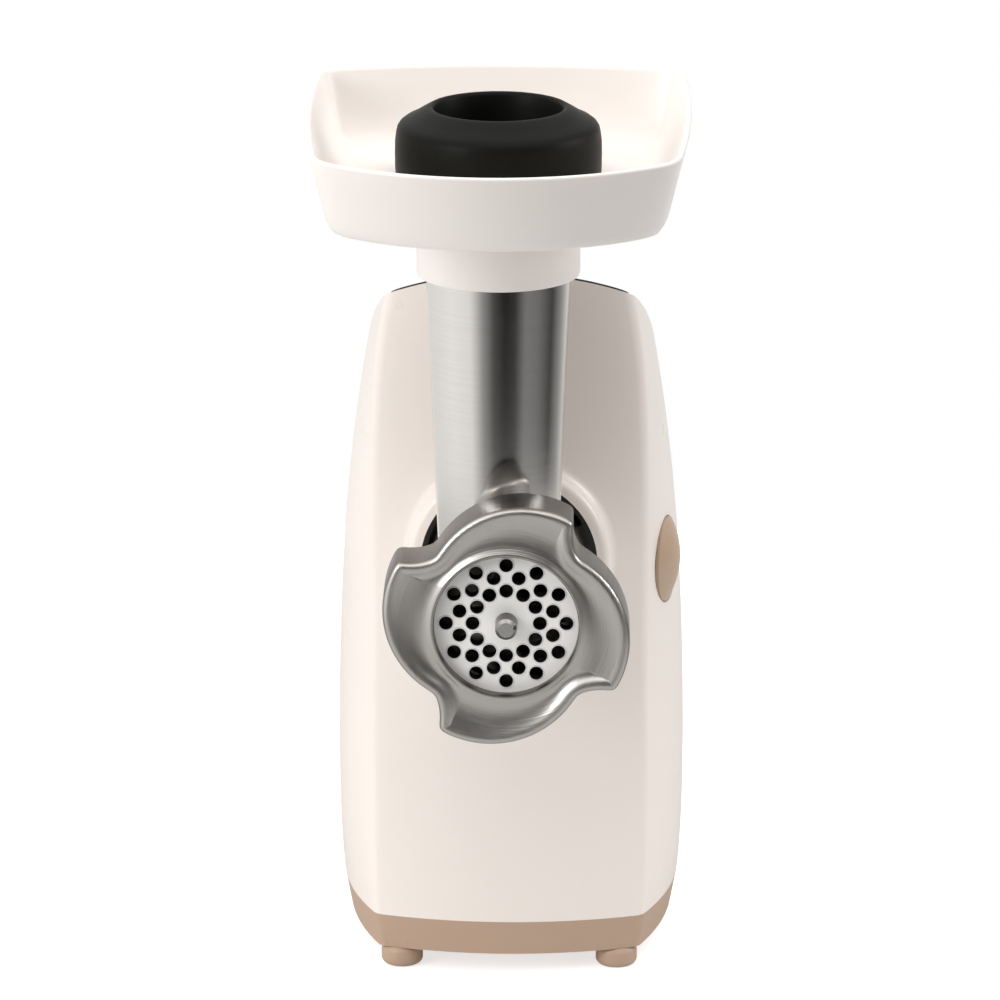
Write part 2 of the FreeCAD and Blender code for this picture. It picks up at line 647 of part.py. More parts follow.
def feed_screw():
    """Tapered core with one helical flight, a square for the blade, a pin and a six-sided drive."""
    front = PLATE_BACK_Y + FREE + BLADE_T
    back = BORE_END_Y - BUSH_FLANGE_T - FREE
    core = Part.makeCone(CORE_FRONT_R, CORE_REAR_R, back - front, Vec(0, front, BARREL_Z), Vec(0, 1, 0))
    root_r = CORE_FRONT_R - 2
    length = back - front - FLIGHT_T - 2
    helix = Part.makeLongHelix(FLIGHT_PITCH, length, root_r)
    section = Part.makePolygon([
        Vec(root_r, 0, -FLIGHT_T * 0.7), Vec(FLIGHT_R, 0, -FLIGHT_T * 0.4), Vec(FLIGHT_R, 0, FLIGHT_T * 0.4),
        Vec(root_r, 0, FLIGHT_T * 0.7), Vec(root_r, 0, -FLIGHT_T * 0.7)])
    flight = Part.Wire(helix.Edges).makePipeShell([section], True, True)
    flight.rotate(Vec(0, 0, 0), Vec(1, 0, 0), -90)
    flight.translate(Vec(0, front + FLIGHT_T / 2 + 1, BARREL_Z))
    tip = PLATE_FRONT_Y - PIN_REACH
    return join(
        core, flight,
        square_y(SQUARE, PLATE_BACK_Y + FREE, front),
        cyl_y(PIN_R, tip + PIN_CHAMFER, front),
        Part.makeCone(PIN_R - PIN_CHAMFER, PIN_R, PIN_CHAMFER, Vec(0, tip, BARREL_Z), Vec(0, 1, 0)),
        cyl_y(JOURNAL_R, back - 1, SPIGOT_END_Y),
        hexagon_y(DRIVE_FLATS, SPIGOT_END_Y - 1, SPIGOT_END_Y + DRIVE_LENGTH))


def cutter_blade():
    """Four-winged knife on the screw's square, its cutting faces against the plate."""
    front = PLATE_BACK_Y + FREE
    blade = cyl_y(BLADE_HUB_R, front, front + BLADE_T)
    foot = BLADE_W / 2
    for k in range(BLADE_WINGS):
        corners = [
            Vec(0, front, BARREL_Z - foot), Vec(BLADE_R, front, BARREL_Z - foot * 0.2),
            Vec(BLADE_R, front, BARREL_Z + foot), Vec(0, front, BARREL_Z + foot)]
        wing = Part.Face(Part.makePolygon(corners + corners[:1])).extrude(Vec(0, BLADE_T * 0.7, 0))
        wing = wing.common(cyl_y(BLADE_R, front, front + BLADE_T))
        blade = blade.fuse(turned(wing, k * 360 / BLADE_WINGS))
    return blade.cut(square_y(SQUARE + FIT, front - 1, front + BLADE_T + 1)).removeSplitter()


def hole_plate():
    """Steel disc with three rings of holes, every other ring staggered, and a notch for the key."""
    plate = cyl_y(PLATE_R, PLATE_FRONT_Y, PLATE_BACK_Y)
    plate = plate.cut(cyl_y(PIN_R + RUN, PLATE_FRONT_Y - 1, PLATE_BACK_Y + 1))
    step = 2 * math.pi / HOLES_PER_RING
    for ring, radius in enumerate(HOLE_RINGS):
        for k in range(HOLES_PER_RING):
            angle = (k + 0.5 * (ring % 2)) * step
            place = (radius * math.cos(angle), BARREL_Z + radius * math.sin(angle))
            plate = plate.cut(cyl_y(HOLE_R, PLATE_FRONT_Y - 1, PLATE_BACK_Y + 1, *place))
    key_z = BARREL_Z - PLATE_R
    half = KEY_W / 2 + FIT
    notch = block(-half, half, BARREL_FRONT_Y - FIT, PLATE_BACK_Y, key_z - 1, key_z + KEY_H + FIT)
    return plate.cut(notch)


def ring_outline(y):
    """Four lobes like a pinwheel: each grows clockwise from a notch to a sharp corner."""
    def at(radius, angle):
        turn = math.radians(angle)
        return Vec(radius * math.cos(turn), y, BARREL_Z + radius * math.sin(turn))
    pitch = 360 / RING_LOBES
    corners = []
    middles = []
    for k in range(RING_LOBES):
        corner = RING_CORNER_ANGLE - k * pitch
        notch = corner - (pitch - RING_LOBE_SPAN)
        drop = (RING_CORNER_R + RING_NOTCH_R) / 2 - 1.0
        corners += [at(RING_CORNER_R, corner), at(RING_NOTCH_R, notch)]
        middles += [at(drop, (corner + notch) / 2 + 2), at(RING_SIDE_R, notch - RING_LOBE_SPAN * 0.5)]
    outline = rounded(arc_loop(corners, middles), RING_CORNER_ROUND)
    return outline.makeOffset2D(RING_NOTCH_ROUND).makeOffset2D(-RING_NOTCH_ROUND)


def locking_ring():
    """Lobed ring nut: a thread bore, a dish that follows the lobes, and a lip that holds the plate."""
    blank = Part.Face(ring_outline(RING_FRONT_Y)).extrude(Vec(0, RING_BACK_Y - RING_FRONT_Y, 0))
    rim = edges_where(blank, lambda e: e.BoundBox.YMax < RING_FRONT_Y + 0.01)
    blank = blank.makeFillet(RING_EDGE_ROUND, rim)
    brim = ring_outline(RING_FRONT_Y).makeOffset2D(-RING_LAND)
    floor = ring_outline(RING_FRONT_Y + RING_DISH).makeOffset2D(-RING_LAND - RING_SLOPE)
    dish = Part.makeLoft([brim, floor], True, True)
    bead = cyl_y(RING_OPENING_R + RING_BEAD, RING_FRONT_Y - 1, RING_BACK_Y)
    blank = blank.cut(dish.cut(bead))
    blank = blank.cut(cyl_y(RING_OPENING_R, RING_FRONT_Y - 1, RING_BACK_Y))
    return blank.cut(cyl_y(THREAD_R + FREE, PLATE_FRONT_Y - RUN, RING_BACK_Y + 1))


# Food tray and pusher


def tray_outline(z, inset):
    fx, fy = TRAY_FRONT_CORNER
    sx, sy = TRAY_SIDE
    bx, by = TRAY_BACK_CORNER
    corners = [Vec(-fx, fy, z), Vec(fx, fy, z), Vec(bx, by, z), Vec(-bx, by, z)]
    middles = [Vec(0, TRAY_FRONT_Y, z), Vec(sx, sy, z), Vec(0, TRAY_BACK_Y, z), Vec(-sx, sy, z)]
    across = Vec(TUBE_X, 0, 0)
    corners = [point + across for point in corners]
    middles = [point + across for point in middles]
    return rounded(arc_loop(corners, middles), TRAY_CORNER_R, inset)


def food_tray():
    """Deep white dish with slanting walls, and a collar below that seats over the feed tube."""
    outer = Part.makeLoft([tray_outline(TRAY_BOTTOM_Z, TRAY_DRAFT), tray_outline(TRAY_RIM_Z, 0)], True, True)
    low = TRAY_DRAFT * (1 - TRAY_FLOOR_T / TRAY_DEPTH) + TRAY_WALL
    inner = Part.makeLoft([tray_outline(TRAY_FLOOR_Z, low), tray_outline(TRAY_RIM_Z, TRAY_WALL)], True, True)
    dish = outer.cut(inner)
    collar = cyl_z(COLLAR_R, TRAY_BOTTOM_Z - COLLAR_DROP, TRAY_FLOOR_Z, TUBE_X, TUBE_Y)
    dish = join(dish, collar)
    mouth_z = TRAY_BOTTOM_Z - COLLAR_DROP - 1
    dish = dish.cut(cyl_z(TUBE_TOP_R + COLLAR_FIT, mouth_z, TRAY_SEAT_Z, TUBE_X, TUBE_Y))
    return dish.cut(cyl_z(TUBE_BORE_TOP_R + FREE, TRAY_SEAT_Z - 1, TRAY_FLOOR_Z + 1, TUBE_X, TUBE_Y))


def pusher():
    """Black hollow stomper: a broad head on the tray's floor and a tapered cup that fills the tube."""
    bottom = BARREL_Z + BORE_R + PUSHER_LIFT
    taper = (TUBE_BORE_TOP_R - TUBE_BORE_FOOT_R) / (TUBE_RISE + 1)
    foot_r = TUBE_BORE_FOOT_R + taper * (bottom - BARREL_Z) - FREE
    neck_r = TUBE_BORE_TOP_R - FREE
    shoulder = TRAY_FLOOR_Z + PUSHER_SHOULDER
    rim = shoulder + PUSHER_CROWN
    outline = [
        (0, bottom), (foot_r, bottom), (neck_r, TRAY_FLOOR_Z), (PUSHER_R - PUSHER_BULGE, TRAY_FLOOR_Z),
        (PUSHER_R, (TRAY_FLOOR_Z + shoulder) / 2), (PUSHER_R - PUSHER_BULGE, shoulder),
        (PUSHER_HOLE_R + PUSHER_WALL, rim), (PUSHER_HOLE_R, rim), (neck_r - PUSHER_WALL, TRAY_FLOOR_Z),
        (foot_r - PUSHER_WALL, bottom + PUSHER_WALL), (0, bottom + PUSHER_WALL)]
    solid = revolve_z(outline, TUBE_X, TUBE_Y)
    edges = edges_where(solid, lambda e: abs(e.BoundBox.ZMax - shoulder) < 0.01 and e.BoundBox.ZLength < 0.01)
    return solid.makeFillet(PUSHER_ROUND, edges)


# Gear case and gears


def case_outline(half, y):
    """Upright slot shape round the gear train."""
    top = BARREL_Z
    bottom = MOTOR_Z - CASE_BOTTOM_DROP + CASE_HALF
    upper = Part.Arc(Vec(-half, y, top), Vec(0, y, top + half), Vec(half, y, top)).toShape()
    lower = Part.Arc(Vec(half, y, bottom), Vec(0, y, bottom - half), Vec(-half, y, bottom)).toShape()
    right = Part.makeLine(Vec(half, y, top), Vec(half, y, bottom))
    left = Part.makeLine(Vec(-half, y, bottom), Vec(-half, y, top))
    return Part.Face(Part.Wire([upper, right, lower, left]))


def case_lugs():
    x = CASE_HALF + LUG_R / 2
    return [(x, SECOND_Z + LUG_R), (-x, SECOND_Z + LUG_R), (x, FIRST_Z), (-x, FIRST_Z)]


def gear_case():
    """Die-cast front half: frame plate on the housing's posts, deep wall round the gears."""
    top = BARREL_Z + CASE_HALF
    bottom = MOTOR_Z - CASE_BOTTOM_DROP
    frame = block(-CASE_FRAME_HALF, CASE_FRAME_HALF, CASE_FRONT_Y, CASE_INSIDE_Y, bottom, top)
    uprights = edges_where(frame, lambda e: e.BoundBox.YLength > CASE_PLATE / 2)
    frame = frame.makeFillet(CASE_FRAME_R, uprights)
    case = frame.fuse(case_outline(CASE_HALF, CASE_FRONT_Y).extrude(Vec(0, COVER_Y - CASE_FRONT_Y, 0)))
    for x, z in case_lugs():
        case = case.fuse(cyl_y(LUG_R, CASE_INSIDE_Y - 1, COVER_Y, x, z))
    case = case.cut(case_outline(CASE_HALF - CASE_WALL, CASE_INSIDE_Y).extrude(Vec(0, COVER_Y, 0)))
    case = case.cut(cyl_y(OUTPUT_HEAD_R + OUTPUT_BUSH_T, CASE_FRONT_Y - 1, CASE_INSIDE_Y + 1))
    for z in (SECOND_Z, FIRST_Z):
        case = case.cut(cyl_y(GEAR_PIN_R, CASE_INSIDE_Y - CASE_PLATE / 2, COVER_Y, 0, z))
    for x, z in case_posts():
        case = case.cut(cyl_y(SCREW_R, CASE_FRONT_Y - 1, CASE_INSIDE_Y + 1, x, z))
    for x, z in case_lugs():
        case = case.cut(cyl_y(SCREW_R, CASE_INSIDE_Y + CASE_PLATE, COVER_Y + 1, x, z))
    return case.removeSplitter()


def motor_posts():
    return [(x, MOTOR_Z + z) for x in (MOTOR_POST_X, -MOTOR_POST_X) for z in (MOTOR_POST_Z, -MOTOR_POST_Z)]


def gear_cover():
    """Rear half of the gear case, with posts that carry the motor and a seat for its front bearing."""
    cover = case_outline(CASE_HALF, COVER_Y).extrude(Vec(0, COVER_T_GEAR, 0))
    for x, z in case_lugs():
        cover = cover.fuse(cyl_y(LUG_R, COVER_Y, COVER_BACK_Y, x, z))
    for x, z in motor_posts():
        cover = cover.fuse(cyl_y(MOTOR_POST_R, COVER_Y, STACK_Y, x, z))
    cover = cover.fuse(cyl_y(BEARING_R + CASE_WALL, COVER_Y, COVER_Y + BEARING_LENGTH, 0, MOTOR_Z))
    cover = cover.cut(cyl_y(BEARING_R, COVER_Y - 1, COVER_Y + BEARING_LENGTH + 1, 0, MOTOR_Z))
    for x, z in motor_posts():
        cover = cover.cut(cyl_y(SCREW_R, COVER_Y + COVER_T_GEAR, STACK_Y + 1, x, z))
    for x, z in case_lugs():
        cover = cover.cut(cyl_y(SCREW_R, COVER_Y - 1, COVER_BACK_Y + 1, x, z))
    for z in (SECOND_Z, FIRST_Z):
        cover = cover.cut(cyl_y(GEAR_PIN_R, COVER_Y - 1, COVER_Y + COVER_T_GEAR / 2, 0, z))
    return cover.cut(cyl_y(OUTPUT_TAIL_R + RUN, COVER_Y - 1, COVER_BACK_Y + 1)).removeSplitter()


def case_screws():
    length = CASE_INSIDE_Y - FRONT_CROWN - SCREW_R / 2
    return Part.makeCompound([screw_y(CASE_INSIDE_Y, length, x, z) for x, z in case_posts()])


def cover_screws():
    depth = COVER_BACK_Y - CASE_INSIDE_Y - CASE_PLATE - 1
    solids = [screw_y(COVER_BACK_Y, depth, x, z) for x, z in case_lugs()]
    return Part.makeCompound(solids)


def gear_pins():
    y0 = CASE_INSIDE_Y - CASE_PLATE / 2
    y1 = COVER_Y + COVER_T_GEAR / 2
    return Part.makeCompound([cyl_y(GEAR_PIN_R, y0, y1, 0, z) for z in (SECOND_Z, FIRST_Z)])


def involute(angle):
    return math.tan(angle) - angle


def gear(teeth, module, y0, y1, z, tooth_up):
    """Spur gear with involute teeth. A tooth points up, or else a gap points down, so that pairs mesh."""
    pitch_r = module * teeth / 2
    base_r = pitch_r * math.cos(math.radians(PRESSURE_ANGLE))
    root_r = pitch_r - DEDENDUM * module
    tip_r = pitch_r + ADDENDUM * module
    half_pitch = math.pi / (2 * teeth) - TOOTH_THINNING / (2 * pitch_r)
    half_pitch += involute(math.radians(PRESSURE_ANGLE))
    flank_foot = max(base_r, root_r)
    radii = [root_r] + [flank_foot + (tip_r - flank_foot) * share for share in (0.0, 0.5, 1.0)]
    sides = [(r, half_pitch - involute(math.acos(min(base_r / r, 1.0)))) for r in radii]
    first = math.pi / 2 if tooth_up else -math.pi / 2 + math.pi / teeth
    points = []
    for k in range(teeth):
        centre = first + 2 * math.pi * k / teeth
        flank = [(r, centre - half) for r, half in sides]
        flank += [(r, centre + half) for r, half in reversed(sides)]
        points += [Vec(r * math.cos(a), y0, z + r * math.sin(a)) for r, a in flank]
    return Part.Face(Part.makePolygon(points + points[:1])).extrude(Vec(0, y1 - y0, 0))


def first_gear():
    """Double gear: large wheel driven by the motor, small one that drives the second gear."""
    wheel = gear(FIRST_TEETH, FINE_MODULE, FIRST_Y, FIRST_Y + FIRST_FACE, FIRST_Z, False)
    pinion = gear(FIRST_PINION_TEETH, FINE_MODULE, SECOND_Y, FIRST_Y, FIRST_Z, True)
    hub = cyl_y(GEAR_HUB_R, CASE_INSIDE_Y + FREE, SECOND_Y, 0, FIRST_Z)
    bore = cyl_y(GEAR_PIN_R + RUN, CASE_INSIDE_Y, COVER_Y, 0, FIRST_Z)
    return wheel.fuse(pinion).fuse(hub).cut(bore)


def second_gear():
    """Double gear: large wheel driven by the first gear, small one that drives the output gear."""
    wheel = gear(SECOND_TEETH, FINE_MODULE, SECOND_Y, SECOND_Y + SECOND_FACE, SECOND_Z, False)
    pinion = gear(SECOND_PINION_TEETH, COARSE_MODULE, OUTPUT_Y, SECOND_Y, SECOND_Z, True)
    hub = cyl_y(GEAR_HUB_R, SECOND_Y + SECOND_FACE, COVER_Y - FREE, 0, SECOND_Z)
    bore = cyl_y(GEAR_PIN_R + RUN, CASE_INSIDE_Y, COVER_Y, 0, SECOND_Z)
    return wheel.fuse(pinion).fuse(hub).cut(bore)


def output_gear():
    wheel = gear(OUTPUT_TEETH, COARSE_MODULE, OUTPUT_Y, OUTPUT_Y + OUTPUT_FACE, BARREL_Z, False)
    return wheel.cut(cyl_y(OUTPUT_SEAT_R, OUTPUT_Y - 1, OUTPUT_Y + OUTPUT_FACE + 1))


def output_shaft():
    """Stepped steel shaft: six-sided socket in its head, seat for the output gear, tail in the cover."""
    shaft = join(
        cyl_y(OUTPUT_HEAD_R, SPIGOT_END_Y + FREE, OUTPUT_Y),
        cyl_y(OUTPUT_SEAT_R, OUTPUT_Y, OUTPUT_Y + OUTPUT_FACE),
        cyl_y(OUTPUT_TAIL_R, OUTPUT_Y + OUTPUT_FACE, COVER_BACK_Y))
    return shaft.cut(hexagon_y(DRIVE_FLATS + 2 * FIT, SPIGOT_END_Y - 1, SPIGOT_END_Y + DRIVE_LENGTH + 1))


def output_bush():
    return tube_y(OUTPUT_HEAD_R + OUTPUT_BUSH_T, OUTPUT_HEAD_R + RUN, CASE_FRONT_Y, CASE_INSIDE_Y)


# Motor


def motor_shaft():
    """Armature shaft with the motor pinion cut on its front end."""
    pinion = gear(MOTOR_TEETH, FINE_MODULE, FIRST_Y, FIRST_Y + FIRST_FACE, MOTOR_Z, True)
    return join(pinion, cyl_y(SHAFT_R, FIRST_Y + FIRST_FACE, BRACKET_Y + BEARING_LENGTH, 0, MOTOR_Z))


def motor_bearings():
    front = tube_y(BEARING_R, SHAFT_R + RUN, COVER_Y, COVER_Y + BEARING_LENGTH, 0, MOTOR_Z)
    back = tube_y(BEARING_R, SHAFT_R + RUN, BRACKET_Y, BRACKET_Y + BEARING_LENGTH, 0, MOTOR_Z)
    return Part.makeCompound([front, back])


def armature_core():
    """Slotted stack of laminations on the shaft."""
    core = tube_y(ARMATURE_R, SHAFT_R, STACK_Y, STACK_END_Y, 0, MOTOR_Z)
    half = ARMATURE_SLOT_W / 2
    slot_z = MOTOR_Z + ARMATURE_R - ARMATURE_SLOT_DEPTH
    slot = block(-half, half, STACK_Y, STACK_END_Y, slot_z, slot_z + ARMATURE_R)
    for k in range(ARMATURE_SLOTS):
        core = core.cut(turned(slot, k * 360 / ARMATURE_SLOTS, 0, MOTOR_Z))
    return core


def armature_winding():
    """Wire bundles at both ends of the stack."""
    slope = WINDING_END * 0.3
    front = revolve_y([
        (SHAFT_R, STACK_Y), (WINDING_R, STACK_Y), (WINDING_R, STACK_Y - WINDING_END + slope),
        (WINDING_R - slope, STACK_Y - WINDING_END), (SHAFT_R, STACK_Y - WINDING_END)], 0, MOTOR_Z)
    back = revolve_y([
        (SHAFT_R, STACK_END_Y), (WINDING_R, STACK_END_Y), (WINDING_R, STACK_END_Y + WINDING_END - slope),
        (WINDING_R - slope, STACK_END_Y + WINDING_END), (SHAFT_R, STACK_END_Y + WINDING_END)], 0, MOTOR_Z)
    return Part.makeCompound([front, back])


def commutator():
    """Ring of copper bars that the brushes run on."""
    ring = tube_y(COMMUTATOR_R, SHAFT_R, COMMUTATOR_Y, COMMUTATOR_Y + COMMUTATOR_LENGTH, 0, MOTOR_Z)
    cut = block(-FIT * 2, FIT * 2, COMMUTATOR_Y, COMMUTATOR_Y + COMMUTATOR_LENGTH,
                MOTOR_Z + COMMUTATOR_R - 1, MOTOR_Z + 2 * COMMUTATOR_R)
    for k in range(COMMUTATOR_BARS):
        ring = ring.cut(turned(cut, (k + 0.5) * 360 / COMMUTATOR_BARS, 0, MOTOR_Z))
    return ring


def cooling_fan():
    """Disc with radial blades between the gear cover and the winding."""
    back = STACK_Y - WINDING_END - 1
    front = back - FAN_W
    fan = cyl_y(FAN_R, back - FAN_DISC_T, back, 0, MOTOR_Z).fuse(cyl_y(2 * SHAFT_R, front, back, 0, MOTOR_Z))
    blade = block(-FAN_DISC_T / 2, FAN_DISC_T / 2, front, back, MOTOR_Z + SHAFT_R, MOTOR_Z + FAN_R - 1)
    for k in range(FAN_BLADES):
        fan = fan.fuse(turned(blade, k * 360 / FAN_BLADES, 0, MOTOR_Z))
    fan = fan.cut(cyl_y(SHAFT_R, front - 1, back + 1, 0, MOTOR_Z))
    return fan.removeSplitter()


def pole_window(radius, inner, angle, y0, y1):
    """Pair of ring sectors to the left and right of the armature, between two radii."""
    ring = tube_y(radius, inner, y0, y1, 0, MOTOR_Z)
    reach = 2 * radius
    rise = reach * math.tan(math.radians(angle))
    corners = [Vec(0, y0, MOTOR_Z), Vec(reach, y0, MOTOR_Z + rise), Vec(reach, y0, MOTOR_Z - rise)]
    right = Part.Face(Part.makePolygon(corners + corners[:1])).extrude(Vec(0, y1 - y0, 0))
    return ring.common(right.fuse(turned(right, 180, 0, MOTOR_Z)))


def field_core():
    """Laminated stator with two poles, above and below the armature."""
    low = MOTOR_Z - STATOR_HALF_Z
    core = block(-STATOR_HALF_X, STATOR_HALF_X, STACK_Y, STACK_END_Y, low, low + 2 * STATOR_HALF_Z)
    core = core.makeFillet(STATOR_ROUND, edges_where(core, lambda e: e.BoundBox.YLength > STACK_LENGTH / 2))
    core = core.cut(cyl_y(ARMATURE_R + AIR_GAP, STACK_Y - 1, STACK_END_Y + 1, 0, MOTOR_Z))
    core = core.cut(pole_window(POLE_WINDOW_R, SHAFT_R, POLE_WINDOW_ANGLE, STACK_Y - 1, STACK_END_Y + 1))
    for x, z in motor_posts():
        core = core.cut(cyl_y(SCREW_R + FIT, STACK_Y - 1, STACK_END_Y + 1, x, z))
    return core.removeSplitter()


def field_coils():
    """Two wound coils, one round each pole, with their end turns outside the stack."""
    outer = POLE_WINDOW_R - COIL_GAP
    inner = outer - COIL_BUILD
    y0 = STACK_Y - COIL_END
    y1 = STACK_END_Y + COIL_END
    sides = pole_window(outer, inner, POLE_WINDOW_ANGLE - 2, y0, y1)
    ends = tube_y(outer, inner, y0, STACK_Y - COIL_GAP, 0, MOTOR_Z)
    ends = ends.fuse(tube_y(outer, inner, STACK_END_Y + COIL_GAP, y1, 0, MOTOR_Z))
    ring = sides.fuse(ends)
    split = block(-2 * outer, 2 * outer, y0, y1, MOTOR_Z - COIL_SPLIT / 2, MOTOR_Z + COIL_SPLIT / 2)
    return Part.makeCompound(ring.cut(split).removeSplitter().Solids)


def motor_bracket():
    """Rear end frame: a plate on four legs, a bearing boss and cheeks for the brush holders."""
    low = MOTOR_Z - STATOR_HALF_Z
    high = low + 2 * STATOR_HALF_Z
    plate = block(-STATOR_HALF_X, STATOR_HALF_X, BRACKET_Y, BRACKET_Y + BRACKET_T, low, high)
    plate = plate.makeFillet(STATOR_ROUND, edges_where(plate, lambda e: e.BoundBox.YLength > BRACKET_T / 2))
    for x, z in motor_posts():
        plate = plate.fuse(cyl_y(MOTOR_POST_R, STACK_END_Y, BRACKET_Y + 1, x, z))
    plate = plate.fuse(cyl_y(BEARING_R + CASE_WALL, BRACKET_Y, BRACKET_Y + BEARING_LENGTH, 0, MOTOR_Z))
    plate = plate.cut(cyl_y(BEARING_R, BRACKET_Y - 1, BRACKET_Y + BEARING_LENGTH + 1, 0, MOTOR_Z))
    for x, z in motor_posts():
        plate = plate.cut(cyl_y(SCREW_R, STACK_END_Y - 1, BRACKET_Y + BRACKET_T + 1, x, z))
    return plate.removeSplitter()


def brush_places():
    x0 = COMMUTATOR_R + BRUSH_GAP
    return [(x0, x0 + BRUSH_LENGTH), (-x0 - BRUSH_LENGTH, -x0)]


def brush_block(x0, x1, grow=0.0):
    """Bar across the motor at the brushes' height, drawn out sideways by grow."""
    half_y = BRUSH_W / 2 + grow
    half_z = BRUSH_H / 2 + grow
    return block(x0, x1, BRUSH_Y - half_y, BRUSH_Y + half_y, MOTOR_Z - half_z, MOTOR_Z + half_z)


def carbon_brushes():
    return Part.makeCompound([brush_block(x0, x1) for x0, x1 in brush_places()])


def brush_holders():
    """Square tubes on the bracket that guide the brushes."""
    solids = []
    half = BRUSH_H / 2 + HOLDER_T
    for x0, x1 in brush_places():
        side = 1 if x0 > 0 else -1
        inner = COMMUTATOR_R + BRUSH_GAP + HOLDER_GAP
        outer = COMMUTATOR_R + BRUSH_GAP + BRUSH_LENGTH + HOLDER_T
        low, high = sorted((side * inner, side * outer))
        foot = block(low, high, BRUSH_Y, BRACKET_Y, MOTOR_Z - half, MOTOR_Z + half)
        solids.append(join(brush_block(low, high, HOLDER_T), foot).cut(brush_block(x0, x1)))
    return Part.makeCompound(solids)


def motor_screws():
    head_y = BRACKET_Y + BRACKET_T
    length = head_y - COVER_BACK_Y - 2
    return Part.makeCompound([screw_y(head_y, length, x, z) for x, z in motor_posts()])


PIECES = (
    housing, top_cover, top_seal, base, feet, base_screws, cord_gland, switch_button, switch_body,
    head_socket, grinder_head, head_bush, feed_screw, cutter_blade, hole_plate, locking_ring,
    food_tray, pusher, gear_case, gear_cover, case_screws, cover_screws, gear_pins,
    first_gear, second_gear, output_gear, output_shaft, output_bush,
    motor_shaft, motor_bearings, armature_core, armature_winding, commutator, cooling_fan,
    field_core, field_coils, motor_bracket, carbon_brushes, brush_holders, motor_screws)

os.makedirs("parts", exist_ok=True)
for piece in PIECES:
    shape = piece()
    shape.translate(Vec(-TUBE_X, -ORIGIN_Y, 0))
    shape.exportStep("parts/" + piece.__name__ + ".step")
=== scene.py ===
import json
import math

import bmesh
import bpy
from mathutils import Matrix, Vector
from mathutils.bvhtree import BVHTree

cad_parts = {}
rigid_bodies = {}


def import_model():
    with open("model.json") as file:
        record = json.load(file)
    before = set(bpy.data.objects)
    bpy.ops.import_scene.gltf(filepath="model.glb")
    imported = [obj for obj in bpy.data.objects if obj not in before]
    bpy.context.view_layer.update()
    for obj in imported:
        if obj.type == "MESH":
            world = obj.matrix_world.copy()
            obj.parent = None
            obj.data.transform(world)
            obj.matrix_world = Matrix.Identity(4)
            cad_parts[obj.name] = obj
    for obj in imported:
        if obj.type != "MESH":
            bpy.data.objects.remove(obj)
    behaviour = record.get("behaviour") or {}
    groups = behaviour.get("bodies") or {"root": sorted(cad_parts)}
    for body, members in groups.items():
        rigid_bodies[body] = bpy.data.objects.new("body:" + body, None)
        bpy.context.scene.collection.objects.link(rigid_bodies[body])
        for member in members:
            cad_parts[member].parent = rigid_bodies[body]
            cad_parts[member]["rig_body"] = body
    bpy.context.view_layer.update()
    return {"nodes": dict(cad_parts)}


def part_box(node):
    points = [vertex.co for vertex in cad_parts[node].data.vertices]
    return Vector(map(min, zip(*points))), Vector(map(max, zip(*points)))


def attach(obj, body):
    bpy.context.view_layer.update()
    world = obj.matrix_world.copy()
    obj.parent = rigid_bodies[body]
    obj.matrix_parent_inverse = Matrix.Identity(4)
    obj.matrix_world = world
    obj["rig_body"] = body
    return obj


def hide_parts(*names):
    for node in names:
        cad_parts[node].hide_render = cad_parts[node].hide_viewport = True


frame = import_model()


# Studio: a long lens from a little above, over a white floor. Light comes from the sides, the back and
# overhead. The camera's side stays dim, so that bright metal shows long dark and light bands.
view_target = Vector((-0.0005, 0.02275, 0.17923))
view_distance = 2.5
view_width = 0.3855
view_elevation = math.radians(16.2)
view_azimuth = math.radians(0.8)
floor_radius = 0.6

camera_data = bpy.data.cameras.new("camera")
camera_data.lens = camera_data.sensor_width * view_distance / view_width
camera = bpy.data.objects.new("camera", camera_data)
level = view_distance * math.cos(view_elevation)
height = view_distance * math.sin(view_elevation)
stand = Vector((level * math.sin(view_azimuth), -level * math.cos(view_azimuth), height))
camera.location = view_target + stand
camera.rotation_euler = (view_target - camera.location).to_track_quat("-Z", "Y").to_euler()
bpy.context.scene.collection.objects.link(camera)
bpy.context.scene.camera = camera
bpy.context.scene.view_settings.view_transform = "Standard"


class Wire:
    """One output socket of a node tree. Arithmetic on it adds Math nodes."""

    def __init__(self, tree, socket=None):
        self.tree = tree
        self.socket = socket

    def node(self, kind, settings=None, inputs=None, output=0):
        """Adds a node, sets its settings, then fills its sockets with values or wires."""
        made = self.tree.nodes.new(kind)
        for name, value in (settings or {}).items():
            if name == "stops":
                ramp = made.color_ramp
                while len(ramp.elements) < len(value):
                    ramp.elements.new(0.5)
                for element, (position, colour) in zip(ramp.elements, value):
                    element.position = position
                    element.color = (*colour, 1.0)
            else:
                setattr(made, name, value)
        for name, value in (inputs or {}).items():
            for item in value if isinstance(value, list) else [value]:
                if isinstance(item, Wire):
                    self.tree.links.new(item.socket, made.inputs[name])
                else:
                    made.inputs[name].default_value = item
        return Wire(self.tree, made.outputs[output])

    def maths(self, operation, first, second):
        return self.node("ShaderNodeMath", {"operation": operation}, {0: first, 1: second})

    def __add__(self, other):
        return self.maths("ADD", self, other)

    def __radd__(self, other):
        return self.maths("ADD", other, self)

    def __sub__(self, other):
        return self.maths("SUBTRACT", self, other)

    def __rsub__(self, other):
        return self.maths("SUBTRACT", other, self)

    def __mul__(self, other):
        return self.maths("MULTIPLY", self, other)

    def __rmul__(self, other):
        return self.maths("MULTIPLY", other, self)

    def __pow__(self, other):
        return self.maths("POWER", self, other)

    def parts(self):
        """The X, Y and Z of a vector."""
        split = self.node("ShaderNodeSeparateXYZ", None, {0: self}).socket.node
        return [Wire(self.tree, socket) for socket in split.outputs]

    def feed(self, node, name):
        self.tree.links.new(self.socket, node.inputs[name])


def grey(level):
    return (level, level * 0.985, level * 0.965)


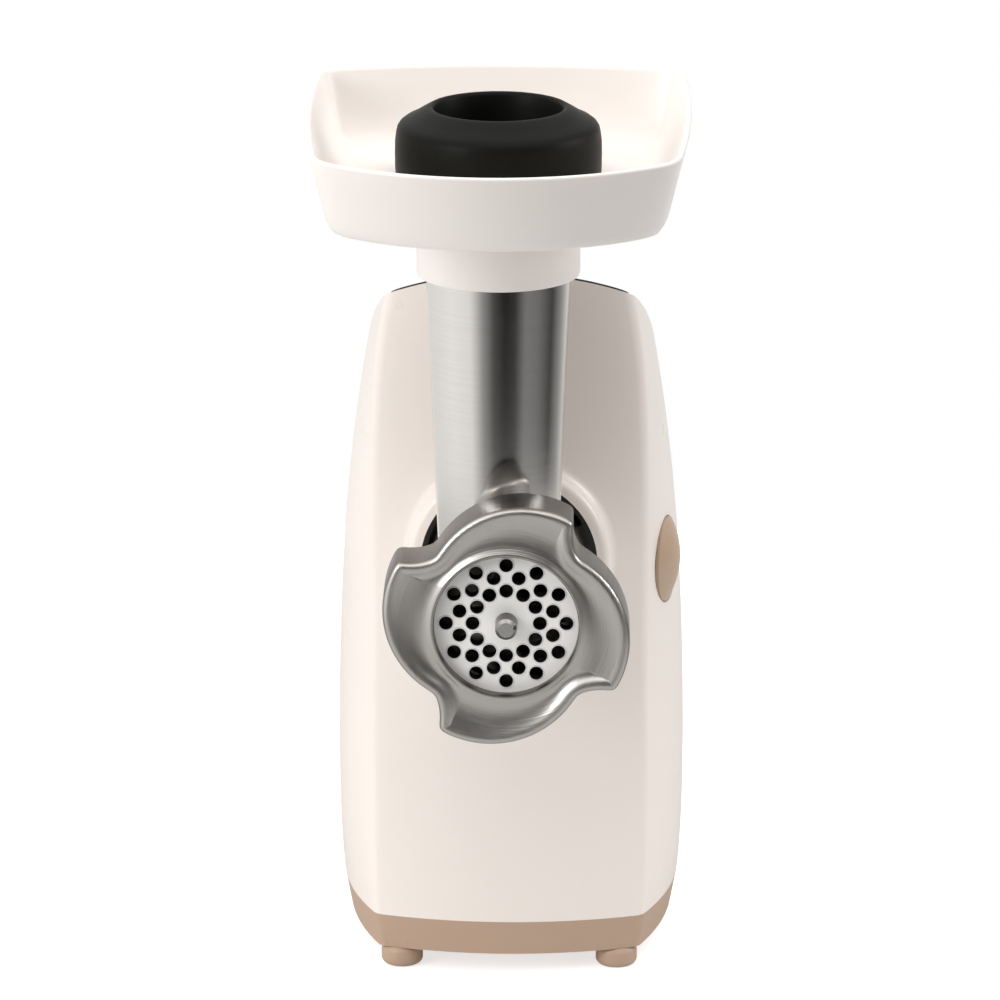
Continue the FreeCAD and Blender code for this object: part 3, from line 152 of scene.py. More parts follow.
# Azimuth of the surroundings as a share of a turn, 0.5 at the camera's side and rising to the right
surroundings = [
    (0.0, 0.72), (0.27, 0.90), (0.37, 0.82), (0.43, 0.28), (0.48, 0.06), (0.53, 0.01), (0.58, 0.03),
    (0.63, 0.20), (0.69, 0.17), (0.775, 0.04), (0.85, 0.30), (0.92, 0.70), (1.0, 0.72)]
world = bpy.data.worlds.new("studio")
world.use_nodes = True
bpy.context.scene.world = world
way = Wire(world.node_tree).node("ShaderNodeTexCoord", output="Generated")
east, north, up = way.parts()
turn = way.maths("ARCTAN2", east, 0.0 - north) * (0.5 / math.pi) + 0.5
glow = way.node("ShaderNodeValToRGB", {"stops": [(p, grey(v)) for p, v in surroundings]}, {"Fac": turn})
overhead = (up - 0.45) * 2.5
sky = way.node("ShaderNodeMix", {"data_type": "RGBA"}, {0: overhead, 6: glow, 7: (*grey(1.75), 1.0)}, 2)
studio = way.node("ShaderNodeBackground", None, {"Color": sky, "Strength": 1.0})
backdrop = way.node("ShaderNodeBackground", None, {"Color": (1.0, 1.0, 1.0, 1.0), "Strength": 1.0})
seen = way.node("ShaderNodeLightPath", output="Is Camera Ray")
way.node("ShaderNodeMixShader", None, {0: seen, 1: studio, 2: backdrop}).feed(
    world.node_tree.nodes["World Output"], "Surface")


def soft_box(name, place, width, power):
    light = bpy.data.lights.new(name, "AREA")
    light.size = width
    light.energy = power
    lamp = bpy.data.objects.new(name, light)
    lamp.location = place
    lamp.rotation_euler = (view_target - Vector(place)).to_track_quat("-Z", "Y").to_euler()
    bpy.context.scene.collection.objects.link(lamp)


soft_box("key_light", (-1.9, -1.6, 1.2), 1.0, 22.0)
soft_box("side_light", (1.9, 0.1, 1.0), 0.8, 14.0)

floor_mesh = bpy.data.meshes.new("floor")
floor_form = bmesh.new()
bmesh.ops.create_circle(floor_form, cap_ends=True, segments=96, radius=floor_radius)
floor_form.to_mesh(floor_mesh)
floor_form.free()
floor_finish = bpy.data.materials.new("pale_floor")
floor_finish.use_nodes = True
floor_shader = floor_finish.node_tree.nodes["Principled BSDF"]
floor_shader.inputs["Roughness"].default_value = 0.9
floor_shader.inputs["Emission Strength"].default_value = 1.0
floor_seen = Wire(floor_finish.node_tree).node("ShaderNodeLightPath", output="Is Camera Ray")
floor_mirrored = floor_seen.node("ShaderNodeLightPath", output="Is Glossy Ray")
floor_colour = floor_seen.node("ShaderNodeMix", {"data_type": "RGBA"}, {
    0: floor_mirrored, 6: (0.64, 0.64, 0.64, 1.0), 7: (0.36, 0.355, 0.35, 1.0)}, 2)
floor_colour.feed(floor_shader, "Base Color")
floor_glow = floor_seen.node("ShaderNodeMix", {"data_type": "RGBA"}, {
    0: floor_mirrored, 6: (0.25, 0.25, 0.25, 1.0), 7: (0.08, 0.08, 0.08, 1.0)}, 2)
floor_seen.node("ShaderNodeMix", {"data_type": "RGBA"}, {
    0: floor_seen, 6: floor_glow, 7: (0.66, 0.66, 0.66, 1.0)}, 2).feed(floor_shader, "Emission Color")
floor_mesh.materials.append(floor_finish)
floor = bpy.data.objects.new("floor", floor_mesh)
bpy.context.scene.collection.objects.link(floor)


# Base: a low beige tray under the body, moulded in ABS with a fine spark-eroded grain, with four round feet
# of the same colour pressed into its floor.
beige = (0.500, 0.355, 0.258)
beige_deep = (0.455, 0.318, 0.228)
weld = 1.2e-5


def new_finish(name, roughness, metallic=0.0):
    """A new material: itself, its shader node, and a wire of the piece's own coordinates in metres."""
    material = bpy.data.materials.new(name)
    material.use_nodes = True
    shader = material.node_tree.nodes["Principled BSDF"]
    shader.inputs["Roughness"].default_value = roughness
    shader.inputs["Metallic"].default_value = metallic
    return material, shader, Wire(material.node_tree).node("ShaderNodeTexCoord", output="Object")


def speckle(place, scale, detail=2.0):
    return place.node("ShaderNodeTexNoise", None, {"Vector": place, "Scale": scale, "Detail": detail})


def blend_colours(mask, low, high):
    return mask.node("ShaderNodeMix", {"data_type": "RGBA"}, {0: mask, 6: (*low, 1.0), 7: (*high, 1.0)}, 2)


def relief(height, strength, depth):
    return height.node("ShaderNodeBump", None, {"Height": height, "Strength": strength, "Distance": depth})


def moulded(name, low, high, roughness, grain_size, grain_depth, coat=0.0):
    """Moulded plastic: faint drifts of colour, uneven gloss, and the tool's grain."""
    material, shader, place = new_finish(name, roughness)
    blend_colours(speckle(place, 14.0), low, high).feed(shader, "Base Color")
    (speckle(place, 60.0) * 0.10 + (roughness - 0.05)).feed(shader, "Roughness")
    relief(speckle(place, 1.0 / grain_size), 0.5, grain_depth).feed(shader, "Normal")
    shader.inputs["Coat Weight"].default_value = coat
    shader.inputs["Coat Roughness"].default_value = 0.15
    return material


def dressed(node, material, crease=32.0):
    """A copy of a piece's solid with its points joined, so that round faces shade smoothly."""
    source = frame["nodes"][node]
    mesh = bpy.data.meshes.new(node + "_surface")
    faces = [tuple(face.vertices) for face in source.data.polygons]
    mesh.from_pydata([v.co for v in source.data.vertices], [], faces)
    form = bmesh.new()
    form.from_mesh(mesh)
    bmesh.ops.remove_doubles(form, verts=form.verts, dist=weld)
    bmesh.ops.dissolve_degenerate(form, edges=form.edges, dist=1e-7)
    form.to_mesh(mesh)
    form.free()
    mesh.shade_smooth()
    mesh.set_sharp_from_angle(angle=math.radians(crease))
    mesh.materials.append(material)
    piece = bpy.data.objects.new(node + "_surface", mesh)
    bpy.context.scene.collection.objects.link(piece)
    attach(piece, source["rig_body"])
    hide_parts(node)
    return piece


def finished(nodes, material):
    """Gives the solids of these pieces a finish and leaves their shapes alone."""
    for node in nodes:
        slots = frame["nodes"][node].data.materials
        slots.clear()
        slots.append(material)


def corner_middles(node):
    """The middles, seen from above, of the four solids of a node, one near each corner of the base."""
    low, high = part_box(node)
    middle = (low + high) / 2
    points = [v.co for v in frame["nodes"][node].data.vertices]
    found = []
    for side in (-1, 1):
        for end in (-1, 1):
            own = [p for p in points if (p.x - middle.x) * side > 0 and (p.y - middle.y) * end > 0]
            across = (min(p.x for p in own) + max(p.x for p in own)) / 2
            along = (min(p.y for p in own) + max(p.y for p in own)) / 2
            found.append(Vector((across, along)))
    return found


def cut_across(form, cut_height, drop_below=False):
    """Cuts a mesh at a height, and drops what is below the cut if asked."""
    everything = form.verts[:] + form.edges[:] + form.faces[:]
    bmesh.ops.bisect_plane(
        form, geom=everything, plane_co=(0.0, 0.0, cut_height), plane_no=(0.0, 0.0, 1.0),
        clear_inner=drop_below)


base_plastic = moulded("beige_plastic", beige_deep, beige, 0.42, 0.0006, 0.00005)
dressed("base", base_plastic)
base_low, base_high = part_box("base")
base_middle = (base_low + base_high) / 2

# A foot is a low puck with a rounded shoulder, which tucks in under the base
foot_axes = corner_middles("feet")
foot_shoulder = 0.0058
foot_shoulder_step = 0.0014
foot_top = base_low.z + 0.0004
shoulder_share = 0.94
top_share = 0.70
feet = dressed("feet", base_plastic)
foot_form = bmesh.new()
foot_form.from_mesh(feet.data)
cut_across(foot_form, foot_shoulder)
cut_across(foot_form, foot_shoulder + foot_shoulder_step)
for point in foot_form.verts:
    if point.co.z > foot_shoulder + foot_shoulder_step / 2:
        axis = min(foot_axes, key=lambda a: (a - point.co.xy).length)
        in_pocket = point.co.z > base_low.z
        point.co.xy = axis + (point.co.xy - axis) * (top_share if in_pocket else shoulder_share)
        if in_pocket:
            point.co.z = foot_top
foot_form.to_mesh(feet.data)
foot_form.free()
feet.data.set_sharp_from_angle(angle=math.radians(50.0))

# The root of a foot fills its pocket, flush with the base's side
edge_margin = 0.0001
hull_form = bmesh.new()
hull_form.from_mesh(frame["nodes"]["base"].data)
bmesh.ops.convex_hull(hull_form, input=hull_form.verts)
base_side = BVHTree.FromBMesh(hull_form)
hull_form.free()
root_form = bmesh.new()
root_form.from_mesh(frame["nodes"]["feet"].data)
bmesh.ops.remove_doubles(root_form, verts=root_form.verts, dist=weld)
cut_across(root_form, base_low.z, drop_below=True)
bmesh.ops.holes_fill(root_form, edges=root_form.edges)
for point in root_form.verts:
    end = math.copysign(1.0, point.co.y - base_middle.y)
    start = Vector((point.co.x, end, max(point.co.z, base_low.z + edge_margin)))
    side = base_side.ray_cast(start, Vector((0.0, -end, 0.0)))[0]
    if side and (point.co.y - side.y) * end > 0:
        point.co.y = side.y
bmesh.ops.recalc_face_normals(root_form, faces=root_form.faces)
for face in root_form.faces:
    face.smooth = False
root_mesh = bpy.data.meshes.new("foot_roots")
root_form.to_mesh(root_mesh)
root_form.free()
root_mesh.materials.append(base_plastic)
foot_roots = bpy.data.objects.new("foot_roots", root_mesh)
bpy.context.scene.collection.objects.link(foot_roots)
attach(foot_roots, "body")


# Body: one glossy white moulding with a bowed front, a swelling side and a boss for the head. A white panel
# closes the roof over a thin dark bead of rubber.
white = (0.880, 0.812, 0.762)
white_deep = (0.862, 0.790, 0.738)
shell_plastic = moulded("white_shell_plastic", white_deep, white, 0.30, 0.0016, 0.00002, 0.2)
dressed("housing", shell_plastic, 25.0)
dressed("top_cover", shell_plastic)

rubber, rubber_shader, rubber_place = new_finish("black_rubber", 0.6)
blend_colours(speckle(rubber_place, 90.0), (0.008, 0.008, 0.008), (0.020, 0.019, 0.018)).feed(
    rubber_shader, "Base Color")
relief(speckle(rubber_place, 1400.0), 0.4, 0.00004).feed(rubber_shader, "Normal")
dressed("top_seal", rubber)
dressed("cord_gland", rubber)


# Push button: a slightly polished beige dome of the base's plastic, standing out of the right side.
button_plastic = moulded(
    "button_plastic", (0.455, 0.318, 0.225), (0.490, 0.348, 0.250), 0.34, 0.0007, 0.00003)
dressed("switch_button", button_plastic)


# Screws: plated pan heads under the base and on the gear case, the gear cover and the motor.
plated, plated_shader, plated_place = new_finish("plated_steel", 0.3, 1.0)
plated_colour = blend_colours(speckle(plated_place, 300.0), (0.50, 0.50, 0.49), (0.62, 0.61, 0.58))
plated_colour.feed(plated_shader, "Base Color")
(speckle(plated_place, 700.0) * 0.2 + 0.2).feed(plated_shader, "Roughness")
finished(["base_screws", "case_screws", "cover_screws", "motor_screws"], plated)

cross_length = 0.0042
cross_width = 0.0009
cross_height = 0.0004
screw_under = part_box("base_screws")[0].z
screw_places = [(p.x, p.y, screw_under) for p in corner_middles("base_screws")]

# Painted shade: the cross recesses are near-black bars at the screw heads, their dark colour standing in for
# the shade inside each recess.
recess, recess_shader, recess_place = new_finish("screw_recess", 0.7, 0.6)
recess_shade_colour = blend_colours(speckle(recess_place, 900.0), (0.03, 0.03, 0.03), (0.07, 0.07, 0.07))
recess_shade_colour.feed(recess_shader, "Base Color")


def node_group(name, *inputs):
    """A Geometry Nodes tree with number inputs: the tree, its inputs' identifiers, and their wires."""
    tree = bpy.data.node_groups.new(name, "GeometryNodeTree")
    tree.interface.new_socket("Geometry", in_out="INPUT", socket_type="NodeSocketGeometry")
    tree.interface.new_socket("Geometry", in_out="OUTPUT", socket_type="NodeSocketGeometry")
    made = [tree.interface.new_socket(text, in_out="INPUT", socket_type="NodeSocketFloat") for text in inputs]
    start = Wire(tree).node("NodeGroupInput").socket.node
    wires = [Wire(tree, start.outputs[text]) for text in ("Geometry", *inputs)]
    return tree, [socket.identifier for socket in made], wires


def grown(name, points, tree, values, body):
    """A plain mesh made by a tree on loose points, riding on a body."""
    seed = bpy.data.meshes.new(name)
    seed.from_pydata(points, [], [])
    piece = bpy.data.objects.new(name, seed)
    bpy.context.scene.collection.objects.link(piece)
    modifier = piece.modifiers.new("grow", "NODES")
    modifier.node_group = tree
    for identifier, value in values:
        modifier[identifier] = value
    ready = piece.evaluated_get(bpy.context.evaluated_depsgraph_get())
    mesh = bpy.data.meshes.new_from_object(ready)
    piece.modifiers.clear()
    piece.data = mesh
    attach(piece, body)
    return piece


cross_tree, cross_inputs, (cross_points, bar_length, bar_width, bar_height) = node_group(
    "screw_crosses", "Length", "Width", "Height")
long_way = cross_points.node("ShaderNodeCombineXYZ", None, {0: bar_length, 1: bar_width, 2: bar_height})
cross_way = cross_points.node("ShaderNodeCombineXYZ", None, {0: bar_width, 1: bar_length, 2: bar_height})
bars = [cross_points.node("GeometryNodeMeshCube", None, {"Size": size}) for size in (long_way, cross_way)]
cross = cross_points.node("GeometryNodeJoinGeometry", None, {"Geometry": bars})
placed = cross_points.node("GeometryNodeInstanceOnPoints", None, {"Points": cross_points, "Instance": cross})
solid = cross_points.node("GeometryNodeRealizeInstances", None, {"Geometry": placed})
coated = cross_points.node("GeometryNodeSetMaterial", None, {"Geometry": solid, "Material": recess})
group_end = cross_tree.nodes.new("NodeGroupOutput")
coated.feed(group_end, "Geometry")
grown("screw_recesses", screw_places, cross_tree,
      list(zip(cross_inputs, (cross_length, cross_width, cross_height))), "body")


# Works inside the body: nylon gears on steel pins in a die-cast case, and a motor with laminated cores,
# enamelled copper coils, a copper commutator, carbon brushes and a black fan.
nylon = moulded("gear_nylon", (0.78, 0.76, 0.68), (0.84, 0.82, 0.75), 0.5, 0.0009, 0.00003)
finished(["first_gear", "second_gear", "head_bush"], nylon)

steel, steel_shader, steel_place = new_finish("ground_steel", 0.3, 1.0)
steel_lines = steel_place.node(
    "ShaderNodeMapping", None, {"Vector": steel_place, "Scale": (260.0, 900.0, 260.0)})
steel_colour = blend_colours(speckle(steel_lines, 1.0), (0.52, 0.52, 0.51), (0.66, 0.65, 0.63))
steel_colour.feed(steel_shader, "Base Color")
(speckle(steel_lines, 1.5) * 0.2 + 0.16).feed(steel_shader, "Roughness")
finished(["gear_pins", "output_gear", "output_shaft", "motor_shaft"], steel)

die_cast, die_cast_shader, die_cast_place = new_finish("die_cast_aluminium", 0.5, 1.0)
blend_colours(speckle(die_cast_place, 120.0), (0.44, 0.44, 0.44), (0.58, 0.58, 0.57)).feed(
    die_cast_shader, "Base Color")
relief(speckle(die_cast_place, 1100.0), 0.5, 0.00008).feed(die_cast_shader, "Normal")
finished(["gear_case", "gear_cover", "motor_bracket"], die_cast)

sheet_iron, sheet_iron_shader, sheet_iron_place = new_finish("stacked_sheet_iron", 0.45, 0.9)
sheets = sheet_iron_place.node(
    "ShaderNodeMapping", None, {"Vector": sheet_iron_place, "Scale": (2.0, 2000.0, 2.0)})
sheet_colour = blend_colours(speckle(sheets, 1.0), (0.10, 0.10, 0.11), (0.26, 0.26, 0.27))
sheet_colour.feed(sheet_iron_shader, "Base Color")
relief(speckle(sheets, 1.0), 0.4, 0.00006).feed(sheet_iron_shader, "Normal")
finished(["armature_core", "field_core"], sheet_iron)

copper, copper_shader, copper_place = new_finish("enamelled_copper", 0.32, 1.0)
strands = copper_place.node(
    "ShaderNodeMapping", None, {"Vector": copper_place, "Scale": (1800.0, 60.0, 1800.0)})
blend_colours(speckle(strands, 1.0), (0.42, 0.16, 0.07), (0.70, 0.33, 0.16)).feed(copper_shader, "Base Color")
relief(speckle(strands, 1.0), 0.6, 0.00015).feed(copper_shader, "Normal")
finished(["armature_winding", "field_coils", "commutator"], copper)

bronze, bronze_shader, bronze_place = new_finish("sintered_bronze", 0.45, 1.0)
bronze_colour = blend_colours(speckle(bronze_place, 800.0), (0.40, 0.24, 0.11), (0.58, 0.38, 0.19))
bronze_colour.feed(bronze_shader, "Base Color")
finished(["output_bush", "motor_bearings"], bronze)

carbon, carbon_shader, carbon_place = new_finish("pressed_carbon", 0.7)
blend_colours(speckle(carbon_place, 500.0), (0.012, 0.012, 0.013), (0.035, 0.035, 0.036)).feed(
    carbon_shader, "Base Color")
finished(["carbon_brushes"], carbon)

black = (0.010, 0.010, 0.009)
black_pale = (0.020, 0.019, 0.017)
black_plastic = moulded("black_plastic", black, black_pale, 0.45, 0.0007, 0.00004)
finished(["switch_body", "cooling_fan", "brush_holders"], black_plastic)


# Grinder head: an aluminium casting with a barrel and a feed tube, turned and brushed bright on the outside.
# It plugs into a black bayonet socket in the body's boss.
dressed("head_socket", black_plastic)

bright_cast, bright_cast_shader, bright_cast_place = new_finish("brushed_aluminium", 0.16, 1.0)
turning = bright_cast_place.node(
    "ShaderNodeMapping", None, {"Vector": bright_cast_place, "Scale": (6.0, 6.0, 1600.0)})
bright_colour = blend_colours(speckle(turning, 1.0), (0.80, 0.785, 0.765), (0.87, 0.86, 0.845))
bright_colour.feed(bright_cast_shader, "Base Color")
(speckle(turning, 1.7) * 0.06 + 0.12).feed(bright_cast_shader, "Roughness")
relief(speckle(turning, 1.0), 0.05, 0.00002).feed(bright_cast_shader, "Normal")
dressed("grinder_head", bright_cast)

# Painted shade: the cutter blade's steel is painted very dark, standing in for the shade behind the plate's
# holes.
dark_steel, dark_shader, dark_place = new_finish("blade_steel_painted_dark", 0.3, 1.0)
dark_colour = blend_colours(speckle(dark_place, 260.0), (0.05, 0.05, 0.05), (0.16, 0.155, 0.15))
dark_colour.feed(dark_shader, "Base Color")
dressed("cutter_blade", dark_steel)

pin_steel, pin_shader, pin_place = new_finish("turned_steel", 0.3, 1.0)
# Painted light: faces turned sideways are painted dark as painted shade, and faces turned to the front
# near-white as a painted highlight.
pin_painted_light_mask = pin_place.node("ShaderNodeTexCoord", output="Normal").parts()[1]
blend_colours(pin_painted_light_mask * pin_painted_light_mask * 1.6 - 0.5, (0.10, 0.095, 0.09), (0.93, 0.92, 0.90)).feed(
    pin_shader, "Base Color")
(speckle(pin_place, 400.0) * 0.12 + 0.16).feed(pin_shader, "Roughness")
dressed("feed_screw", pin_steel, 25.0)


# Hole plate: a steel disc ground flat, with three rings of holes whose edges are broken by a fine chamfer.
plate_low, plate_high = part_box("hole_plate")
plate_centre = (plate_low + plate_high) / 2
hole_rings = (0.0222, 0.0178, 0.0124)
holes_per_ring = 12
hole_radius = 0.00275
chamfer = 0.00022


def rings_about_barrel(place):
    """Fine rings about the barrel's axis, as a lathe or a grinder leaves them."""
    centre = (plate_centre.x, 0.0, plate_centre.z)
    moved = place.node("ShaderNodeVectorMath", {"operation": "SUBTRACT"}, {0: place, 1: centre})
    across, along, upward = moved.parts()
    radius = (across * across + upward * upward) ** 0.5
    spread = place.node(
        "ShaderNodeCombineXYZ", None, {0: radius * 2600.0, 1: across * 30.0, 2: upward * 30.0})
    return speckle(spread, 1.0)


plate_steel, plate_shader, plate_place = new_finish("ground_plate", 0.42, 0.05)
plate_rings = rings_about_barrel(plate_place)
# Painted shade: the hole walls and chamfer sides, which face sideways, are painted near-black; only the front
# face keeps the pale steel colour.
facing = plate_place.node("ShaderNodeTexCoord", output="Normal").parts()[1]
plate_wall_shade_mask = (facing * facing - 0.2) * 4.0
plate_face = blend_colours(plate_rings, (0.93, 0.915, 0.90), (0.98, 0.97, 0.955))
plate_colour = plate_place.node("ShaderNodeMix", {"data_type": "RGBA"}, {
    0: plate_wall_shade_mask, 6: (0.012, 0.012, 0.012, 1.0), 7: plate_face}, 2)
plate_colour.feed(plate_shader, "Base Color")
(plate_rings * 0.16 + 0.34).feed(plate_shader, "Roughness")
dressed("hole_plate", plate_steel)

hole_points = []
for number, ring_radius in enumerate(hole_rings):
    for k in range(holes_per_ring):
        angle = (k + 0.5 * (number % 2)) * 2 * math.pi / holes_per_ring
        hole_points.append((
            plate_centre.x + ring_radius * math.cos(angle), plate_low.y,
            plate_centre.z + ring_radius * math.sin(angle)))
rim_tree, rim_inputs, (rim_points, rim_radius, rim_size) = node_group(
    "hole_chamfers", "Hole radius", "Chamfer")
circle = rim_points.node("GeometryNodeCurvePrimitiveCircle", None, {"Resolution": 20, "Radius": rim_radius})
section = rim_points.node("GeometryNodeCurvePrimitiveCircle", None, {"Resolution": 6, "Radius": rim_size})
rim = rim_points.node("GeometryNodeCurveToMesh", None, {"Curve": circle, "Profile Curve": section})
upright = rim_points.node(
    "GeometryNodeTransform", None, {"Geometry": rim, "Rotation": (math.pi / 2, 0.0, 0.0)})
placed = rim_points.node("GeometryNodeInstanceOnPoints", None, {"Points": rim_points, "Instance": upright})
solid = rim_points.node("GeometryNodeRealizeInstances", None, {"Geometry": placed})
smooth = rim_points.node("GeometryNodeSetShadeSmooth", None, {"Geometry": solid})
coated = rim_points.node("GeometryNodeSetMaterial", None, {"Geometry": smooth, "Material": plate_steel})
group_end = rim_tree.nodes.new("NodeGroupOutput")
coated.feed(group_end, "Geometry")
grown("hole_chamfers", hole_points, rim_tree, list(zip(rim_inputs, (hole_radius, chamfer))), "head")


# Locking ring: a cast aluminium ring nut with four lobes like a pinwheel. A rounded rim follows the lobes,
# and the face inside it is turned to a shallow dish around the opening.
ring_low, ring_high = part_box("locking_ring")
ring_front = ring_low.y
ring_back = ring_high.y
opening_radius = 0.0267
bore_radius = 0.0344
notch_radius = 0.0372
lobe_radius = 0.0442
corner_radius = 0.0472
lobes = 4
lobe_span = 77.0
first_corner = 58.0
dish_depth = 0.0014


def arc_points(start, middle, end, count):
    """Points along the circle through three places, without the last one."""
    a, b, c = (Vector(p) for p in (start, middle, end))
    d = 2 * (a.x * (b.y - c.y) + b.x * (c.y - a.y) + c.x * (a.y - b.y))
    aa, bb, cc = a.length_squared, b.length_squared, c.length_squared
    centre = Vector((
        (aa * (b.y - c.y) + bb * (c.y - a.y) + cc * (a.y - b.y)) / d,
        (aa * (c.x - b.x) + bb * (a.x - c.x) + cc * (b.x - a.x)) / d))
    first = math.atan2(a.y - centre.y, a.x - centre.x)
    through = (math.atan2(b.y - centre.y, b.x - centre.x) - first) % (2 * math.pi)
    sweep = (math.atan2(c.y - centre.y, c.x - centre.x) - first) % (2 * math.pi)
    if through > sweep:
        sweep -= 2 * math.pi
    radius = (a - centre).length
    angles = [first + sweep * k / count for k in range(count)]
    return [centre + radius * Vector((math.cos(t), math.sin(t))) for t in angles]


def even_outline(points, count, softening):
    """A closed outline in even steps, with its corners rounded by averaging neighbours."""
    steps = [(points[(k + 1) % len(points)] - p).length for k, p in enumerate(points)]
    pitch = sum(steps) / count
    even = []
    travelled = 0.0
    for p, step, following in zip(points, steps, points[1:] + points[:1]):
        while len(even) < count and len(even) * pitch < travelled + step:
            even.append(p.lerp(following, (len(even) * pitch - travelled) / step))
        travelled += step
    for _ in range(softening):
        even = [(even[k - 1] + 2 * p + even[(k + 1) % count]) / 4 for k, p in enumerate(even)]
    return even


def drawn_in(outline, inset):
    """The outline moved inwards towards the point 0, 0 in short steps that keep its corners from crossing."""
    count = len(outline)
    steps = max(1, round(inset / 0.0008))
    moved = outline
    for step in range(steps):
        last = moved
        moved = []
        for k, p in enumerate(last):
            along = (last[(k + 1) % count] - last[k - 1]).normalized()
            normal = Vector((along.y, -along.x))
            if normal.dot(p) > 0:
                normal.negate()
            moved.append(p + normal * (inset / steps))
        if step:
            moved = [(moved[k - 1] + 2 * p + moved[(k + 1) % count]) / 4 for k, p in enumerate(moved)]
    return moved


def on_circle(outline, radius):
    return [p.normalized() * radius for p in outline]


def skin(name, loops, material, crease):
    """A closed skin over loops of points, each joined to the next and the last to the first."""
    count = len(loops[0])
    faces = []
    for row in range(len(loops)):
        upper = (row + 1) % len(loops)
        for k in range(count):
            after = (k + 1) % count
            faces.append((row * count + k, row * count + after, upper * count + after, upper * count + k))
    mesh = bpy.data.meshes.new(name)
    mesh.from_pydata([p for loop in loops for p in loop], [], faces)
    form = bmesh.new()
    form.from_mesh(mesh)
    bmesh.ops.recalc_face_normals(form, faces=form.faces)
    form.to_mesh(mesh)
    form.free()
    mesh.shade_smooth()
    mesh.set_sharp_from_angle(angle=math.radians(crease))
    mesh.materials.append(material)
    piece = bpy.data.objects.new(name, mesh)
    bpy.context.scene.collection.objects.link(piece)
    return piece


def polar(radius, degrees):
    return (radius * math.cos(math.radians(degrees)), radius * math.sin(math.radians(degrees)))


ring_sketch = []
for k in range(lobes):
    corner = first_corner - k * 360 / lobes
    notch = corner - (360 / lobes - lobe_span)
    drop_radius = (corner_radius + notch_radius) / 2 - 0.001
    ring_sketch += arc_points(
        polar(corner_radius, corner), polar(drop_radius, (corner + notch) / 2 + 2),
        polar(notch_radius, notch), 16)
    ring_sketch += arc_points(
        polar(notch_radius, notch), polar(lobe_radius, notch - lobe_span / 2),
        polar(corner_radius, notch - lobe_span), 64)
ring_outline = even_outline(ring_sketch, 360, 8)


def ring_loop(points, y):
    return [Vector((plate_centre.x + p.x, y, plate_centre.z + p.y)) for p in points]


ring_loops = [
    ring_loop(on_circle(ring_outline, bore_radius), ring_back),
    ring_loop(on_circle(ring_outline, bore_radius), plate_low.y - 0.00005),
    ring_loop(on_circle(ring_outline, opening_radius), plate_low.y - 0.00005),
    ring_loop(on_circle(ring_outline, opening_radius), ring_front + 0.0009),
    ring_loop(on_circle(ring_outline, opening_radius + 0.0003), ring_front + 0.0004),
    ring_loop(on_circle(ring_outline, opening_radius + 0.0009), ring_front + 0.0003)]
dish_inside = on_circle(ring_outline, opening_radius + 0.0014)
dish_outside = drawn_in(ring_outline, 0.0042)
for step in range(11):
    share = step / 10
    hollow = 0.0005 + dish_depth * math.sin(math.pi * share ** 0.8) ** 0.9
    between = [a.lerp(b, share) for a, b in zip(dish_inside, dish_outside)]
    ring_loops.append(ring_loop(between, ring_front + hollow))
for inset, back in (
        (0.0034, 0.00022), (0.0026, 0.00005), (0.0019, 0.0), (0.0012, 0.0002), (0.0006, 0.0007),
        (0.0002, 0.0014), (0.0, 0.0024)):
    ring_loops.append(ring_loop(drawn_in(ring_outline, inset), ring_front + back))
for inset, ahead in ((0.0, 0.0016), (0.0002, 0.0008), (0.0007, 0.0002), (0.0013, 0.0)):
    ring_loops.append(ring_loop(drawn_in(ring_outline, inset), ring_back - ahead))

satin_cast, satin_shader, satin_place = new_finish("satin_cast_aluminium", 0.42, 1.0)
satin_rings = rings_about_barrel(satin_place)
satin_face = blend_colours(satin_rings, (0.58, 0.56, 0.535), (0.68, 0.66, 0.635))
# Painted shade: the outer walls and the opening's wall, which face sideways, are painted dark grey; the front
# face keeps the satin colour.
satin_facing = satin_place.node("ShaderNodeTexCoord", output="Normal").parts()[1]
ring_wall_shade_mask = (satin_facing * satin_facing - 0.10) * 2.0
satin_colour = satin_place.node("ShaderNodeMix", {"data_type": "RGBA"}, {
    0: ring_wall_shade_mask, 6: (0.20, 0.188, 0.175, 1.0), 7: satin_face}, 2)
satin_colour.feed(satin_shader, "Base Color")
(satin_rings * 0.10 + speckle(satin_place, 500.0) * 0.08 + 0.26).feed(satin_shader, "Roughness")
relief(satin_rings, 0.6, 0.00014).feed(satin_shader, "Normal")
locking_ring = skin("locking_ring_casting", ring_loops, satin_cast, 38.0)
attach(locking_ring, "ring")
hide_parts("locking_ring")


# Food tray: a deep white dish in polypropylene with slanting walls, a rounded edge and soft corners. A collar
# under it slips over the top of the feed tube.
tray_low, tray_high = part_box("food_tray")
tube_centre = Vector((0.0, -0.05425))
tray_front = tray_low.y - tube_centre.y
front_corner = (0.066, -0.075)
side_middle = (0.071, 0.002)
back_corner = (0.0695, 0.077)
back_middle = 0.087
tray_bottom = tray_high.z - 0.029
tray_floor = tray_bottom + 0.0025
tray_draft = 0.007 / 0.029
tray_wall = 0.0022
collar_radius = 0.03025
collar_bore = 0.0269
tray_hole = 0.0244
tray_seat = tray_bottom - 0.002

fx, fy = front_corner
sx, sy = side_middle
bx, by = back_corner
tray_sketch = arc_points((-fx, fy), (0.0, tray_front), (fx, fy), 40)
tray_sketch += arc_points((fx, fy), (sx, sy), (bx, by), 40)
tray_sketch += arc_points((bx, by), (0.0, back_middle), (-bx, by), 40)
tray_sketch += arc_points((-bx, by), (-sx, sy), (-fx, fy), 40)
tray_outline = even_outline(tray_sketch, 320, 22)


def tray_loop(points, z):
    return [Vector((tube_centre.x + p.x, tube_centre.y + p.y, z)) for p in points]


def wall_inset(z):
    """How far the dish's outer wall is drawn in at a height."""
    return (tray_high.z - z) * tray_draft


